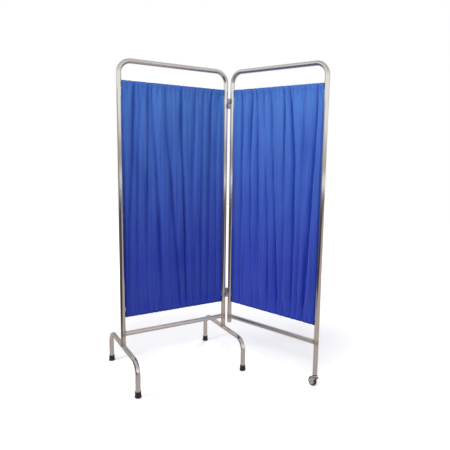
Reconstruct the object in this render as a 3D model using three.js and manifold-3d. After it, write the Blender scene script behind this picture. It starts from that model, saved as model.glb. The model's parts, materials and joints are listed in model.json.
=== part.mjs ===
import * as THREE from "three";
import { mergeVertices } from "three/addons/utils/BufferGeometryUtils.js";
import Module from "manifold-3d";

// A ward privacy screen: two panels of bent stainless tube, joined by two barrel hinges.
// Panel A stands on two arched legs with rubber feet. Panel B hangs on the hinges and
// rolls on one swivel caster. Each panel carries a gathered curtain on two rods.
// Lengths are in millimetres and angles in degrees. +Z is up and the front faces -Y.

// Overall sizes
const OVERALL_HEIGHT = 1680;
const PANEL_WIDTH = 606;
const OPENING_ANGLE = 110;
const RAIL_RISE = 69;
const FREE_UPRIGHT_DROP = 35;

// Frame tube
const TUBE_DIAMETER = 25.4;
const TUBE_WALL = 1.2;
const TOP_BEND_RADIUS = 63;

// Arched legs under panel A
const LEG_SPAN = 484;
const LEG_CROWN_HEIGHT = 176;
const LEG_BEND_RADIUS = 62;

// Rubber feet and the steel washers inside them
const FOOT_HEIGHT = 31;
const FOOT_WALL = 2.3;
const FOOT_FLARE = 2;
const FOOT_FLOOR = 5;
const FOOT_EDGE = 1.8;
const FOOT_BEAD_HEIGHT = 4;
const FOOT_WASHER_THICKNESS = 1.5;
const FOOT_WASHER_BORE_DIAMETER = 8;

// Hinges
const UPPER_HINGE_DROP = 172.3;
const LOWER_HINGE_RISE = 147;
const KNUCKLE_DIAMETER = 12;
const KNUCKLE_LENGTH = 26;
const KNUCKLE_RUNNING_GAP = 0.54;
const PIVOT_SIDE_ANGLE = 46.7;
const LEAF_REACH = 20;
const LEAF_THICKNESS = 2.5;
const LEAF_CORNER_RADIUS = 4;
const HINGE_PIN_DIAMETER = 6;
const HINGE_PIN_HEAD_DIAMETER = 9.6;
const HINGE_PIN_HEAD_HEIGHT = 3;
const HINGE_WASHER_THICKNESS = 1.4;

// Curtain rods and the open hooks that hold them
const ROD_DIAMETER = 8;
const ROD_END_GAP = 1;
const HOOK_WALL = 1.2;
const HOOK_LENGTH = 9;
const HOOK_LIP_RISE = 3;

// Curtains
const CURTAIN_TOP_DROP = 97.3;
const CURTAIN_BOTTOM_RISE = 92;
const CURTAIN_SIDE_GAP = 2.5;
const CLOTH_THICKNESS = 2.6;
const POCKET_WALL = 1.5;
const HEADER_HEIGHT = 36;
const POCKET_DEPTH = 22;
const POCKET_EDGE_ROUNDING = 2;
const FOLD_DEPTH = 11;
const HEM_FOLD_DEPTH = 0.8;

// How the folds deepen down a curtain: shares of the drop from the upper stitch line to the
// lower one, and of the full fold depth.
const FOLD_LEVEL_SHARES = [
  { drop: 0.06, fold: 0.55 },
  { drop: 0.22, fold: 0.85 },
  { drop: 0.5, fold: 1 },
  { drop: 0.78, fold: 0.95 },
  { drop: 0.94, fold: 0.6 },
];

// One fold, from a crease to the next one: shares of the way across, and of the fold depth
// by which the cloth stands back from its plane. Creases are narrow and ridges are broad.
const FOLD_PROFILE_SHARES = [
  { way: 0, back: 1 },
  { way: 0.2, back: 0.05 },
  { way: 0.5, back: -0.8 },
  { way: 0.8, back: 0.05 },
];

// The creases of each curtain from left to right: shares of its width at the upper and the
// lower stitch line, and of the full fold depth.
const CREASE_SHARES = {
  a: [
    { top: 0.11, bottom: 0.03, depth: 0.65 },
    { top: 0.165, bottom: 0.125, depth: 0.4 },
    { top: 0.235, bottom: 0.215, depth: 0.85 },
    { top: 0.295, bottom: 0.355, depth: 0.5 },
    { top: 0.395, bottom: 0.545, depth: 0.75 },
    { top: 0.555, bottom: 0.61, depth: 1 },
    { top: 0.7, bottom: 0.675, depth: 0.4 },
    { top: 0.78, bottom: 0.765, depth: 0.6 },
    { top: 0.865, bottom: 0.84, depth: 0.75 },
    { top: 0.94, bottom: 0.935, depth: 0.4 },
  ],
  b: [
    { top: 0.1, bottom: 0.11, depth: 0.6 },
    { top: 0.225, bottom: 0.27, depth: 0.85 },
    { top: 0.29, bottom: 0.345, depth: 0.45 },
    { top: 0.365, bottom: 0.455, depth: 0.4 },
    { top: 0.44, bottom: 0.57, depth: 0.7 },
    { top: 0.59, bottom: 0.64, depth: 0.5 },
    { top: 0.66, bottom: 0.725, depth: 1 },
    { top: 0.8, bottom: 0.79, depth: 0.3 },
    { top: 0.935, bottom: 0.86, depth: 0.9 },
  ],
};

// End plug of the free upright
const PLUG_FLANGE_THICKNESS = 2.4;
const PLUG_DEPTH = 18;
const PLUG_WALL = 2;

// Swivel caster
const WHEEL_DIAMETER = 50;
const WHEEL_TRAIL = 16;
const CASTER_REST_ANGLE = 15;
const TYRE_WIDTH = 18;
const TYRE_DEPTH = 7.2;
const TREAD_ROUNDING = 5;
const RIM_RIDGE_HEIGHT = 1.6;
const RIM_RIDGE_WIDTH = 6;
const RIM_THICKNESS = 2.4;
const WEB_THICKNESS = 5;
const HUB_DIAMETER = 15;
const HUB_SIDE_GAP = 0.5;
const AXLE_DIAMETER = 6;
const AXLE_SLEEVE_WALL = 0.9;
const AXLE_HEAD_DIAMETER = 11;
const AXLE_HEAD_HEIGHT = 4;
const AXLE_NUT_HEIGHT = 5;
const AXLE_THREAD_STANDOUT = 1.5;
const FORK_GAP = 23.6;
const FORK_SHEET = 2.2;
const FORK_CORNER_RADIUS = 5;
const FORK_CROWN_REACH = 15;
const FORK_EYE_RADIUS = 8;
const WHEEL_TOP_GAP = 2.6;
const KING_PIN_DIAMETER = 8;
const KING_PIN_HEAD_DIAMETER = 13;
const KING_PIN_HEAD_HEIGHT = 2;
const STEM_DIAMETER = 10;
const STEM_LENGTH = 36;
const STEM_CHAMFER = 1.5;
const BALL_DIAMETER = 4;
const BALL_CIRCLE_RADIUS = 9.4;
const BALL_CAGE_WIDTH = 2;
const BALL_CAGE_THICKNESS = 1.4;
const BALL_COUNT = 8;
const HEAD_DIAMETER = 30;
const HEAD_SKIRT = 3;
const HEAD_SHEET = 1.6;
const HEAD_DOME_HEIGHT = 2.2;
const SLEEVE_FLANGE_THICKNESS = 4.2;
const SLEEVE_LENGTH = 34;
const SLEEVE_FLANGE_INSET = 0.5;
const SLEEVE_RIB_DEPTH = 0.6;
const SLEEVE_RIB_PITCH = 11;
const SLEEVE_RIB_COUNT = 3;

// Fits
const SEAT_GAP = 0.3;
const CUT_OVERRUN = 2;

// Facet counts
const TUBE_SIDES = 20;
const BORE_SIDES = 12;
const BEND_STEPS = 6;
const TURNED_SIDES = 20;
const SMALL_SIDES = 12;
const HEX_SIDES = 6;
const BALL_SIDES = 6;
const BALL_RINGS = 4;
const ARC_STEPS = 5;
const CORNER_STEPS = 2;
const TREAD_STEPS = 3;

// Values worked out from the sizes above
const TUBE_RADIUS = TUBE_DIAMETER / 2;
const TUBE_BORE_RADIUS = TUBE_RADIUS - TUBE_WALL;
const PLUG_RADIUS = TUBE_BORE_RADIUS * Math.cos(Math.PI / BORE_SIDES) - SEAT_GAP;
const TOP_BAR_HEIGHT = OVERALL_HEIGHT - TUBE_RADIUS;
const RAIL_HEIGHT = LEG_CROWN_HEIGHT + RAIL_RISE;
const FREE_UPRIGHT_FOOT_HEIGHT = RAIL_HEIGHT - FREE_UPRIGHT_DROP;
const UPPER_HINGE_HEIGHT = TOP_BAR_HEIGHT - UPPER_HINGE_DROP;
const LOWER_HINGE_HEIGHT = RAIL_HEIGHT + LOWER_HINGE_RISE;
const KNUCKLE_RADIUS = KNUCKLE_DIAMETER / 2;
const PIVOT_TO_UPRIGHT = TUBE_RADIUS + KNUCKLE_RADIUS + KNUCKLE_RUNNING_GAP;
const PIVOT_SIDE_RADIANS = THREE.MathUtils.degToRad(PIVOT_SIDE_ANGLE);
const INNER_UPRIGHT_X = PIVOT_TO_UPRIGHT * Math.sin(PIVOT_SIDE_RADIANS);
const PANEL_PLANE_Y = PIVOT_TO_UPRIGHT * Math.cos(PIVOT_SIDE_RADIANS);
const OUTER_UPRIGHT_X = INNER_UPRIGHT_X + PANEL_WIDTH;
const CURTAIN_TOP = TOP_BAR_HEIGHT - CURTAIN_TOP_DROP;
const CURTAIN_BOTTOM = RAIL_HEIGHT + CURTAIN_BOTTOM_RISE;
const TOP_STITCH_HEIGHT = CURTAIN_TOP - HEADER_HEIGHT;
const BOTTOM_STITCH_HEIGHT = CURTAIN_BOTTOM + HEADER_HEIGHT;
const ROD_RADIUS = ROD_DIAMETER / 2;
const HOOK_BORE_RADIUS = ROD_RADIUS + SEAT_GAP;
const HOOK_RADIUS = HOOK_BORE_RADIUS + HOOK_WALL;
const TOP_ROD_HEIGHT = CURTAIN_TOP - POCKET_WALL - SEAT_GAP - ROD_RADIUS;
const BOTTOM_ROD_HEIGHT = CURTAIN_BOTTOM + POCKET_WALL + SEAT_GAP + HOOK_RADIUS;
const WHEEL_RADIUS = WHEEL_DIAMETER / 2;
const FORK_CROWN_TOP = WHEEL_DIAMETER + WHEEL_TOP_GAP + FORK_SHEET;
const RACE_HEIGHT = FORK_CROWN_TOP + BALL_DIAMETER + SEAT_GAP + SEAT_GAP;
const HEAD_TOP = RACE_HEIGHT + HEAD_SHEET + HEAD_DOME_HEIGHT;
const SLEEVE_FLANGE_BOTTOM = HEAD_TOP + SEAT_GAP;
const SLEEVE_FLANGE_TOP = SLEEVE_FLANGE_BOTTOM + SLEEVE_FLANGE_THICKNESS;
const CASTER_UPRIGHT_FOOT_HEIGHT = SLEEVE_FLANGE_TOP + SEAT_GAP;
const LEG_FOOT_HEIGHT = FOOT_FLOOR + FOOT_WASHER_THICKNESS + SEAT_GAP + SEAT_GAP;

const STAINLESS = { color: 0xb9b4ae, roughness: 0.22, metalness: 1 };
const BRIGHT_STEEL = { color: 0xc9c6c2, roughness: 0.15, metalness: 1 };
const DARK_STEEL = { color: 0x6f6862, roughness: 0.4, metalness: 1 };
const BLACK_RUBBER = { color: 0x1b1917, roughness: 0.85, metalness: 0 };
const GREY_PLASTIC = { color: 0x7f827e, roughness: 0.5, metalness: 0 };
const DARK_PLASTIC = { color: 0x4f4540, roughness: 0.5, metalness: 0 };
const PALE_PLASTIC = { color: 0xd9d5cf, roughness: 0.45, metalness: 0 };
const BLUE_CLOTH = { color: 0x3f60bc, roughness: 0.9, metalness: 0 };

const wasm = await Module();
wasm.setup();

// Turns a closed geometry into a solid that can be joined and cut.
function solidFrom(geometry) {
  const bare = geometry.index ? geometry.toNonIndexed() : geometry.clone();
  bare.deleteAttribute("normal");
  bare.deleteAttribute("uv");
  const merged = mergeVertices(bare);
  const vertProperties = new Float32Array(merged.attributes.position.array);
  const triVerts = new Uint32Array(merged.index.array);
  return new wasm.Manifold(new wasm.Mesh({ numProp: 3, vertProperties, triVerts }));
}

function geometryFrom(solid) {
  const mesh = solid.getMesh();
  const geometry = new THREE.BufferGeometry();
  geometry.setAttribute("position", new THREE.BufferAttribute(mesh.vertProperties, 3));
  geometry.setIndex(new THREE.BufferAttribute(mesh.triVerts, 1));
  geometry.computeVertexNormals();
  return geometry;
}

function addPiece(parent, name, geometry, finish) {
  const mesh = new THREE.Mesh(geometry, new THREE.MeshStandardMaterial(finish));
  mesh.name = name;
  parent.add(mesh);
  return mesh;
}

function circlePoints(radius, sides) {
  const points = [];
  for (let i = 0; i < sides; i += 1) {
    const angle = (2 * Math.PI * i) / sides;
    points.push(new THREE.Vector2(radius * Math.cos(angle), radius * Math.sin(angle)));
  }
  return points;
}

// The section of the frame tube.
function tubeSection() {
  const section = new THREE.Shape(circlePoints(TUBE_RADIUS, TUBE_SIDES));
  section.holes.push(new THREE.Path(circlePoints(TUBE_BORE_RADIUS, BORE_SIDES)));
  return section;
}

// The centre line of a bent tube: straight runs between corners that are rounded to arcs.
// It has one station at each end and BEND_STEPS of them round each bend.
class BentTubeRoute extends THREE.Curve {
  constructor(corners, bendRadius) {
    super();
    this.stations = [corners[0]];
    this.tangents = [corners[1].clone().sub(corners[0]).normalize()];
    for (let i = 1; i < corners.length - 1; i += 1) {
      this.addBend(corners[i - 1], corners[i], corners[i + 1], bendRadius);
    }
    const last = corners.length - 1;
    this.stations.push(corners[last]);
    this.tangents.push(corners[last].clone().sub(corners[last - 1]).normalize());
  }

  addBend(before, corner, after, bendRadius) {
    const incoming = corner.clone().sub(before).normalize();
    const outgoing = after.clone().sub(corner).normalize();
    const turn = incoming.angleTo(outgoing);
    const inward = outgoing.clone().addScaledVector(incoming, -incoming.dot(outgoing)).normalize();
    const start = corner.clone().addScaledVector(incoming, -bendRadius * Math.tan(turn / 2));
    const centre = start.clone().addScaledVector(inward, bendRadius);
    for (let i = 0; i <= BEND_STEPS; i += 1) {
      const angle = (turn * i) / BEND_STEPS;
      const along = bendRadius * Math.sin(angle);
      const across = -bendRadius * Math.cos(angle);
      const station = centre.clone().addScaledVector(incoming, along).addScaledVector(inward, across);
      const tangent = incoming.clone().multiplyScalar(Math.cos(angle));
      this.stations.push(station);
      this.tangents.push(tangent.addScaledVector(inward, Math.sin(angle)));
    }
  }

  getPointAt(share, target = new THREE.Vector3()) {
    return target.copy(this.stations[Math.round(share * (this.stations.length - 1))]);
  }

  getTangentAt(share, target = new THREE.Vector3()) {
    return target.copy(this.tangents[Math.round(share * (this.tangents.length - 1))]);
  }
}

function bentTube(corners, bendRadius) {
  const route = new BentTubeRoute(corners, bendRadius);
  const steps = route.stations.length - 1;
  return new THREE.ExtrudeGeometry(tubeSection(), { steps, extrudePath: route, bevelEnabled: false });
}

// A round bar whose flats all lie outside the given radius, for cutting seats.
function seatCutter(radius, length) {
  const flatRadius = (radius + SEAT_GAP) / Math.cos(Math.PI / TURNED_SIDES);
  return new THREE.CylinderGeometry(flatRadius, flatRadius, length, TURNED_SIDES);
}

function uprightCutter(x, height, length) {
  const cutter = seatCutter(TUBE_RADIUS, length);
  cutter.rotateX(Math.PI / 2);
  cutter.translate(x, PANEL_PLANE_Y, height);
  return solidFrom(cutter);
}

function legCutter(x) {
  const cutter = seatCutter(TUBE_RADIUS, TUBE_DIAMETER + CUT_OVERRUN);
  cutter.translate(x, PANEL_PLANE_Y, LEG_CROWN_HEIGHT);
  return solidFrom(cutter);
}

// A turned piece. The points are [radius, height] pairs that start and end on the axis
// or close on themselves.
function turned(points, sides = TURNED_SIDES) {
  const profile = points.map(([radius, height]) => new THREE.Vector2(radius, height));
  const geometry = new THREE.LatheGeometry(profile, sides);
  geometry.rotateX(Math.PI / 2);
  return geometry;
}

// A turned ring from its four corners.
function turnedRing(innerRadius, outerRadius, bottom, top, sides) {
  const corners = [
    [innerRadius, bottom],
    [outerRadius, bottom],
    [outerRadius, top],
    [innerRadius, top],
    [innerRadius, bottom],
  ];
  return turned(corners, sides);
}

// Panel frames. Side is -1 for panel A, which reaches to the left of the hinge line, and
// 1 for panel B, which reaches to the right of it before it is folded.
function frameTube(side, outerFoot, innerFoot) {
  const outerX = side * OUTER_UPRIGHT_X;
  const innerX = side * INNER_UPRIGHT_X;
  const corners = [
    new THREE.Vector3(outerX, PANEL_PLANE_Y, outerFoot),
    new THREE.Vector3(outerX, PANEL_PLANE_Y, TOP_BAR_HEIGHT),
    new THREE.Vector3(innerX, PANEL_PLANE_Y, TOP_BAR_HEIGHT),
    new THREE.Vector3(innerX, PANEL_PLANE_Y, innerFoot),
  ];
  return bentTube(corners, TOP_BEND_RADIUS);
}

// Panel A's uprights are coped over the crowns of the two legs.
function copedFrameTube(side) {
  let solid = solidFrom(frameTube(side, LEG_CROWN_HEIGHT, LEG_CROWN_HEIGHT));
  for (const x of [side * OUTER_UPRIGHT_X, side * INNER_UPRIGHT_X]) {
    solid = solid.subtract(legCutter(x));
  }
  return geometryFrom(solid);
}

function crossRail(side) {
  const rail = new THREE.ExtrudeGeometry(tubeSection(), { depth: PANEL_WIDTH, bevelEnabled: false });
  rail.rotateY(Math.PI / 2);
  rail.translate(Math.min(side * INNER_UPRIGHT_X, side * OUTER_UPRIGHT_X), PANEL_PLANE_Y, RAIL_HEIGHT);
  let solid = solidFrom(rail);
  for (const x of [side * OUTER_UPRIGHT_X, side * INNER_UPRIGHT_X]) {
    solid = solid.subtract(uprightCutter(x, RAIL_HEIGHT, TUBE_DIAMETER + CUT_OVERRUN));
  }
  return geometryFrom(solid);
}

function archedLeg(x) {
  const front = PANEL_PLANE_Y - LEG_SPAN / 2;
  const back = PANEL_PLANE_Y + LEG_SPAN / 2;
  const corners = [
    new THREE.Vector3(x, front, LEG_FOOT_HEIGHT),
    new THREE.Vector3(x, front, LEG_CROWN_HEIGHT),
    new THREE.Vector3(x, back, LEG_CROWN_HEIGHT),
    new THREE.Vector3(x, back, LEG_FOOT_HEIGHT),
  ];
  return bentTube(corners, LEG_BEND_RADIUS);
}

// A rubber ferrule: blind bore, tapered wall, bead at its mouth and a flat round base.
function rubberFoot() {
  const bore = TUBE_RADIUS + SEAT_GAP;
  const neck = bore + FOOT_WALL;
  const base = neck + FOOT_FLARE;
  const beadBottom = FOOT_HEIGHT - FOOT_BEAD_HEIGHT;
  return turned([
    [0, 0],
    [base - FOOT_EDGE, 0],
    [base, FOOT_EDGE],
    [base, FOOT_FLOOR],
    [neck - FOOT_EDGE / 2, beadBottom],
    [neck, beadBottom],
    [neck, FOOT_HEIGHT - FOOT_EDGE / 2],
    [neck - FOOT_EDGE / 2, FOOT_HEIGHT],
    [bore, FOOT_HEIGHT],
    [bore, FOOT_FLOOR],
    [0, FOOT_FLOOR],
  ]);
}

function footWasher() {
  const bottom = FOOT_FLOOR + SEAT_GAP;
  const boreRadius = FOOT_WASHER_BORE_DIAMETER / 2;
  const top = bottom + FOOT_WASHER_THICKNESS;
  return turnedRing(boreRadius, TUBE_RADIUS, bottom, top, SMALL_SIDES);
}

// Hinges. The knuckle turns on the hinge line, and its flat leaf lies on the front of the
// upright that it is welded to.
function hingeLeaf(side) {
  const cornerX = LEAF_REACH - LEAF_CORNER_RADIUS;
  const cornerZ = KNUCKLE_LENGTH / 2 - LEAF_CORNER_RADIUS;
  const outline = new THREE.Shape();
  outline.moveTo(0, KNUCKLE_LENGTH / 2);
  outline.lineTo(0, -KNUCKLE_LENGTH / 2);
  outline.absarc(cornerX, -cornerZ, LEAF_CORNER_RADIUS, -Math.PI / 2, 0, false);
  outline.absarc(cornerX, cornerZ, LEAF_CORNER_RADIUS, 0, Math.PI / 2, false);
  const options = { depth: LEAF_THICKNESS, bevelEnabled: false, curveSegments: CORNER_STEPS };
  const leaf = new THREE.ExtrudeGeometry(outline, options);
  leaf.rotateX(Math.PI / 2);
  if (side < 0) {
    leaf.rotateY(Math.PI);
  }
  leaf.translate(0, PANEL_PLANE_Y - TUBE_RADIUS - SEAT_GAP, 0);
  return leaf;
}

function uprightBar(radius, length, sides) {
  const bar = new THREE.CylinderGeometry(radius, radius, length, sides);
  bar.rotateX(Math.PI / 2);
  return bar;
}

function hingeKnuckle(side, bottom) {
  const boreRadius = HINGE_PIN_DIAMETER / 2 + SEAT_GAP;
  const barrel = uprightBar(KNUCKLE_RADIUS, KNUCKLE_LENGTH, TURNED_SIDES);
  const bore = uprightBar(boreRadius, KNUCKLE_LENGTH + CUT_OVERRUN, SMALL_SIDES);
  const knuckle = solidFrom(barrel).add(solidFrom(hingeLeaf(side))).subtract(solidFrom(bore));
  const geometry = geometryFrom(knuckle);
  geometry.translate(0, 0, bottom + KNUCKLE_LENGTH / 2);
  return geometry;
}

function hingeWasher(bottom) {
  const boreRadius = HINGE_PIN_DIAMETER / 2 + SEAT_GAP;
  const top = bottom + HINGE_WASHER_THICKNESS;
  return turnedRing(boreRadius, KNUCKLE_RADIUS, bottom, top, SMALL_SIDES);
}

function hingePin(bottom, top) {
  const radius = HINGE_PIN_DIAMETER / 2;
  const headRadius = HINGE_PIN_HEAD_DIAMETER / 2;
  const headEdge = HINGE_PIN_HEAD_HEIGHT / 2;
  return turned([
    [0, bottom],
    [radius, bottom],
    [radius, top],
    [headRadius, top],
    [headRadius, top + headEdge],
    [radius, top + HINGE_PIN_HEAD_HEIGHT],
    [0, top + HINGE_PIN_HEAD_HEIGHT],
  ], SMALL_SIDES);
}

function addHinge(panelA, panelB, place, height) {
  const washerBottom = height - HINGE_WASHER_THICKNESS / 2;
  const lowerBottom = washerBottom - SEAT_GAP - KNUCKLE_LENGTH;
  const upperBottom = washerBottom + HINGE_WASHER_THICKNESS + SEAT_GAP;
  const headSeat = upperBottom + KNUCKLE_LENGTH + SEAT_GAP;
  addPiece(panelA, `${place}_hinge_knuckle_a`, hingeKnuckle(-1, lowerBottom), STAINLESS);
  addPiece(panelB, `${place}_hinge_knuckle_b`, hingeKnuckle(1, upperBottom), STAINLESS);
  addPiece(panelA, `${place}_hinge_washer`, hingeWasher(washerBottom), DARK_STEEL);
  addPiece(panelA, `${place}_hinge_pin`, hingePin(lowerBottom, headSeat), BRIGHT_STEEL);
}

// Curtain rods lie in open hooks, so that they lift out when the curtain is washed.
function curtainRod(side, height) {
  const clear = TUBE_RADIUS + ROD_END_GAP;
  const length = PANEL_WIDTH - 2 * clear;
  const rod = new THREE.CylinderGeometry(ROD_RADIUS, ROD_RADIUS, length, SMALL_SIDES);
  rod.rotateZ(Math.PI / 2);
  rod.translate((side * (INNER_UPRIGHT_X + OUTER_UPRIGHT_X)) / 2, PANEL_PLANE_Y, height);
  return rod;
}

function rodHook(side, uprightX, towards, height) {
  const profile = new THREE.Shape();
  profile.moveTo(HOOK_RADIUS, HOOK_LIP_RISE);
  profile.lineTo(HOOK_BORE_RADIUS, HOOK_LIP_RISE);
  profile.absarc(0, 0, HOOK_BORE_RADIUS, 0, -Math.PI, true);
  profile.lineTo(-HOOK_BORE_RADIUS, HOOK_LIP_RISE);
  profile.lineTo(-HOOK_RADIUS, HOOK_LIP_RISE);
  profile.absarc(0, 0, HOOK_RADIUS, Math.PI, 2 * Math.PI, false);
  const depth = TUBE_RADIUS + HOOK_LENGTH;
  const options = { depth, bevelEnabled: false, curveSegments: ARC_STEPS };
  const hook = new THREE.ExtrudeGeometry(profile, options);
  hook.rotateX(Math.PI / 2);
  hook.rotateZ(Math.PI / 2);
  const start = towards > 0 ? side * uprightX : side * uprightX - depth;
  hook.translate(start, PANEL_PLANE_Y, height);
  const cutter = uprightCutter(side * uprightX, height, TUBE_DIAMETER + CUT_OVERRUN);
  return geometryFrom(solidFrom(hook).subtract(cutter));
}

// Curtains. Each station across the width is a section through the cloth: a rod pocket at
// the top, a sheet that swings into folds, and a rod pocket at the bottom. Inward is -1
// from the top edge down and 1 from the bottom edge up. A point is [depth, height].
function pocketOutline(edge, inward) {
  const half = HOOK_RADIUS + SEAT_GAP + POCKET_WALL;
  const neck = CLOTH_THICKNESS / 2;
  const rightSide = [
    [neck, edge + inward * HEADER_HEIGHT],
    [half, edge + inward * (POCKET_DEPTH + POCKET_WALL)],
    [half, edge + inward * POCKET_EDGE_ROUNDING],
    [half - POCKET_EDGE_ROUNDING, edge],
  ];
  const leftSide = rightSide.map(([depth, height]) => [-depth, height]).reverse();
  return [...rightSide, ...leftSide];
}

function pocketBore(edge, inward) {
  const half = HOOK_RADIUS + SEAT_GAP;
  const rightSide = [
    [half, edge + inward * POCKET_DEPTH],
    [half, edge + inward * POCKET_WALL],
  ];
  const leftSide = rightSide.map(([depth, height]) => [-depth, height]).reverse();
  return [...rightSide, ...leftSide];
}

// The closed loops of one section, the outline first and then the two bores. Each point
// says how far it swings with the folds and with the hem's small gathers.
function sectionLoops() {
  const neck = CLOTH_THICKNESS / 2;
  const levels = FOLD_LEVEL_SHARES.map(({ drop, fold }) => {
    const height = THREE.MathUtils.lerp(TOP_STITCH_HEIGHT, BOTTOM_STITCH_HEIGHT, drop);
    return { height, fold, hem: 0 };
  });
  const still = ([depth, height]) => ({ depth, height, fold: 0, hem: 0 });
  const hem = ([depth, height]) => ({ depth, height, fold: 0, hem: 1 });
  const frontSheet = levels.map((level) => ({ depth: -neck, ...level }));
  const backSheet = levels.map((level) => ({ depth: neck, ...level })).reverse();
  const outline = [
    ...pocketOutline(CURTAIN_TOP, -1).map(hem),
    ...frontSheet,
    ...pocketOutline(CURTAIN_BOTTOM, 1).reverse().map(hem),
    ...backSheet,
  ];
  const topBore = pocketBore(CURTAIN_TOP, -1).reverse().map(still);
  const bottomBore = pocketBore(CURTAIN_BOTTOM, 1).map(still);
  return [outline, topBore, bottomBore];
}

// The stations of a curtain from left to right: where each lies at the two stitch lines, and
// how far back it stands, as shares of the width and of the fold depth.
function curtainStations(creases) {
  const leftEdge = { top: 0, bottom: 0, depth: 0 };
  const rightEdge = { top: 1, bottom: 1, depth: 0 };
  const stops = [leftEdge, ...creases, rightEdge];
  const stations = [];
  for (let i = 1; i < stops.length; i += 1) {
    const from = stops[i - 1];
    const to = stops[i];
    for (const { way, back } of FOLD_PROFILE_SHARES) {
      stations.push({
        top: THREE.MathUtils.lerp(from.top, to.top, way),
        bottom: THREE.MathUtils.lerp(from.bottom, to.bottom, way),
        back: back * THREE.MathUtils.lerp(from.depth, to.depth, way),
      });
    }
  }
  stations.push({ ...rightEdge, back: 0 });
  return stations;
}

// Where a point of the section lies at a station. The creases run straight from stitch line
// to stitch line, and stand upright in the hems.
function clothPoint(point, station, start, width) {
  const stitchSpan = TOP_STITCH_HEIGHT - BOTTOM_STITCH_HEIGHT;
  const drop = THREE.MathUtils.clamp((TOP_STITCH_HEIGHT - point.height) / stitchSpan, 0, 1);
  const across = THREE.MathUtils.lerp(station.top, station.bottom, drop);
  const fold = station.back * (FOLD_DEPTH * point.fold + HEM_FOLD_DEPTH * point.hem);
  return [start + width * across, PANEL_PLANE_Y + point.depth + fold, point.height];
}

function curtain(side, creases) {
  const edgeGap = TUBE_RADIUS + CURTAIN_SIDE_GAP;
  const width = PANEL_WIDTH - 2 * edgeGap;
  const start = Math.min(side * INNER_UPRIGHT_X, side * OUTER_UPRIGHT_X) + edgeGap;
  const stations = curtainStations(creases);
  const loops = sectionLoops();
  const pointCount = loops.flat().length;
  const positions = [];
  const triangles = [];
  for (const station of stations) {
    for (const point of loops.flat()) {
      positions.push(...clothPoint(point, station, start, width));
    }
  }
  for (let station = 0; station < stations.length - 1; station += 1) {
    let loopStart = station * pointCount;
    for (const loop of loops) {
      for (let i = 0; i < loop.length; i += 1) {
        const next = (i + 1) % loop.length;
        const quad = [loopStart + i, loopStart + next];
        triangles.push(...splitQuad(quad, pointCount, loop[next].height < loop[i].height));
      }
      loopStart += loop.length;
    }
  }
  const [outline, ...bores] = loops.map((loop) =>
    loop.map(({ depth, height }) => new THREE.Vector2(depth, height)));
  const lastSection = (stations.length - 1) * pointCount;
  for (const [a, b, c] of THREE.ShapeUtils.triangulateShape(outline, bores)) {
    triangles.push(lastSection + a, lastSection + b, lastSection + c);
    triangles.push(c, b, a);
  }
  const geometry = new THREE.BufferGeometry();
  geometry.setAttribute("position", new THREE.Float32BufferAttribute(positions, 3));
  geometry.setIndex(triangles);
  geometry.computeVertexNormals();
  return geometry;
}

// The two triangles between an edge of one section and the same edge of the next. The split
// runs from the upper point of this section to the lower one of the next, so that the front
// and the back of the cloth bend alike and never cross.
function splitQuad([a, b], onward, falling) {
  if (falling) {
    return [a, b, b + onward, a, b + onward, a + onward];
  }
  return [a, b, a + onward, b, b + onward, a + onward];
}

// The rods, hooks and curtain of one panel.
function addCurtain(panel, letter, side) {
  const rodHeights = { top: TOP_ROD_HEIGHT, bottom: BOTTOM_ROD_HEIGHT };
  for (const [place, height] of Object.entries(rodHeights)) {
    addPiece(panel, `curtain_rod_${letter}_${place}`, curtainRod(side, height), STAINLESS);
    const outerHook = rodHook(side, OUTER_UPRIGHT_X, -side, height);
    const innerHook = rodHook(side, INNER_UPRIGHT_X, side, height);
    addPiece(panel, `rod_hook_${letter}_${place}_outer`, outerHook, STAINLESS);
    addPiece(panel, `rod_hook_${letter}_${place}_inner`, innerHook, STAINLESS);
  }
  addPiece(panel, `curtain_${letter}`, curtain(side, CREASE_SHARES[letter]), BLUE_CLOTH);
}

// A plug closes the upright that ends above the floor.
function endPlug() {
  const flangeTop = FREE_UPRIGHT_FOOT_HEIGHT - SEAT_GAP;
  const flangeBottom = flangeTop - PLUG_FLANGE_THICKNESS;
  const flangeEdge = PLUG_FLANGE_THICKNESS / 2;
  const plugTop = flangeTop + PLUG_DEPTH;
  const hollowRadius = PLUG_RADIUS - PLUG_WALL;
  return turned([
    [0, flangeBottom],
    [TUBE_RADIUS - flangeEdge, flangeBottom],
    [TUBE_RADIUS, flangeTop - flangeEdge],
    [TUBE_RADIUS, flangeTop],
    [PLUG_RADIUS, flangeTop],
    [PLUG_RADIUS, plugTop],
    [hollowRadius, plugTop],
    [hollowRadius, flangeTop],
    [0, flangeTop],
  ]);
}

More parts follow.
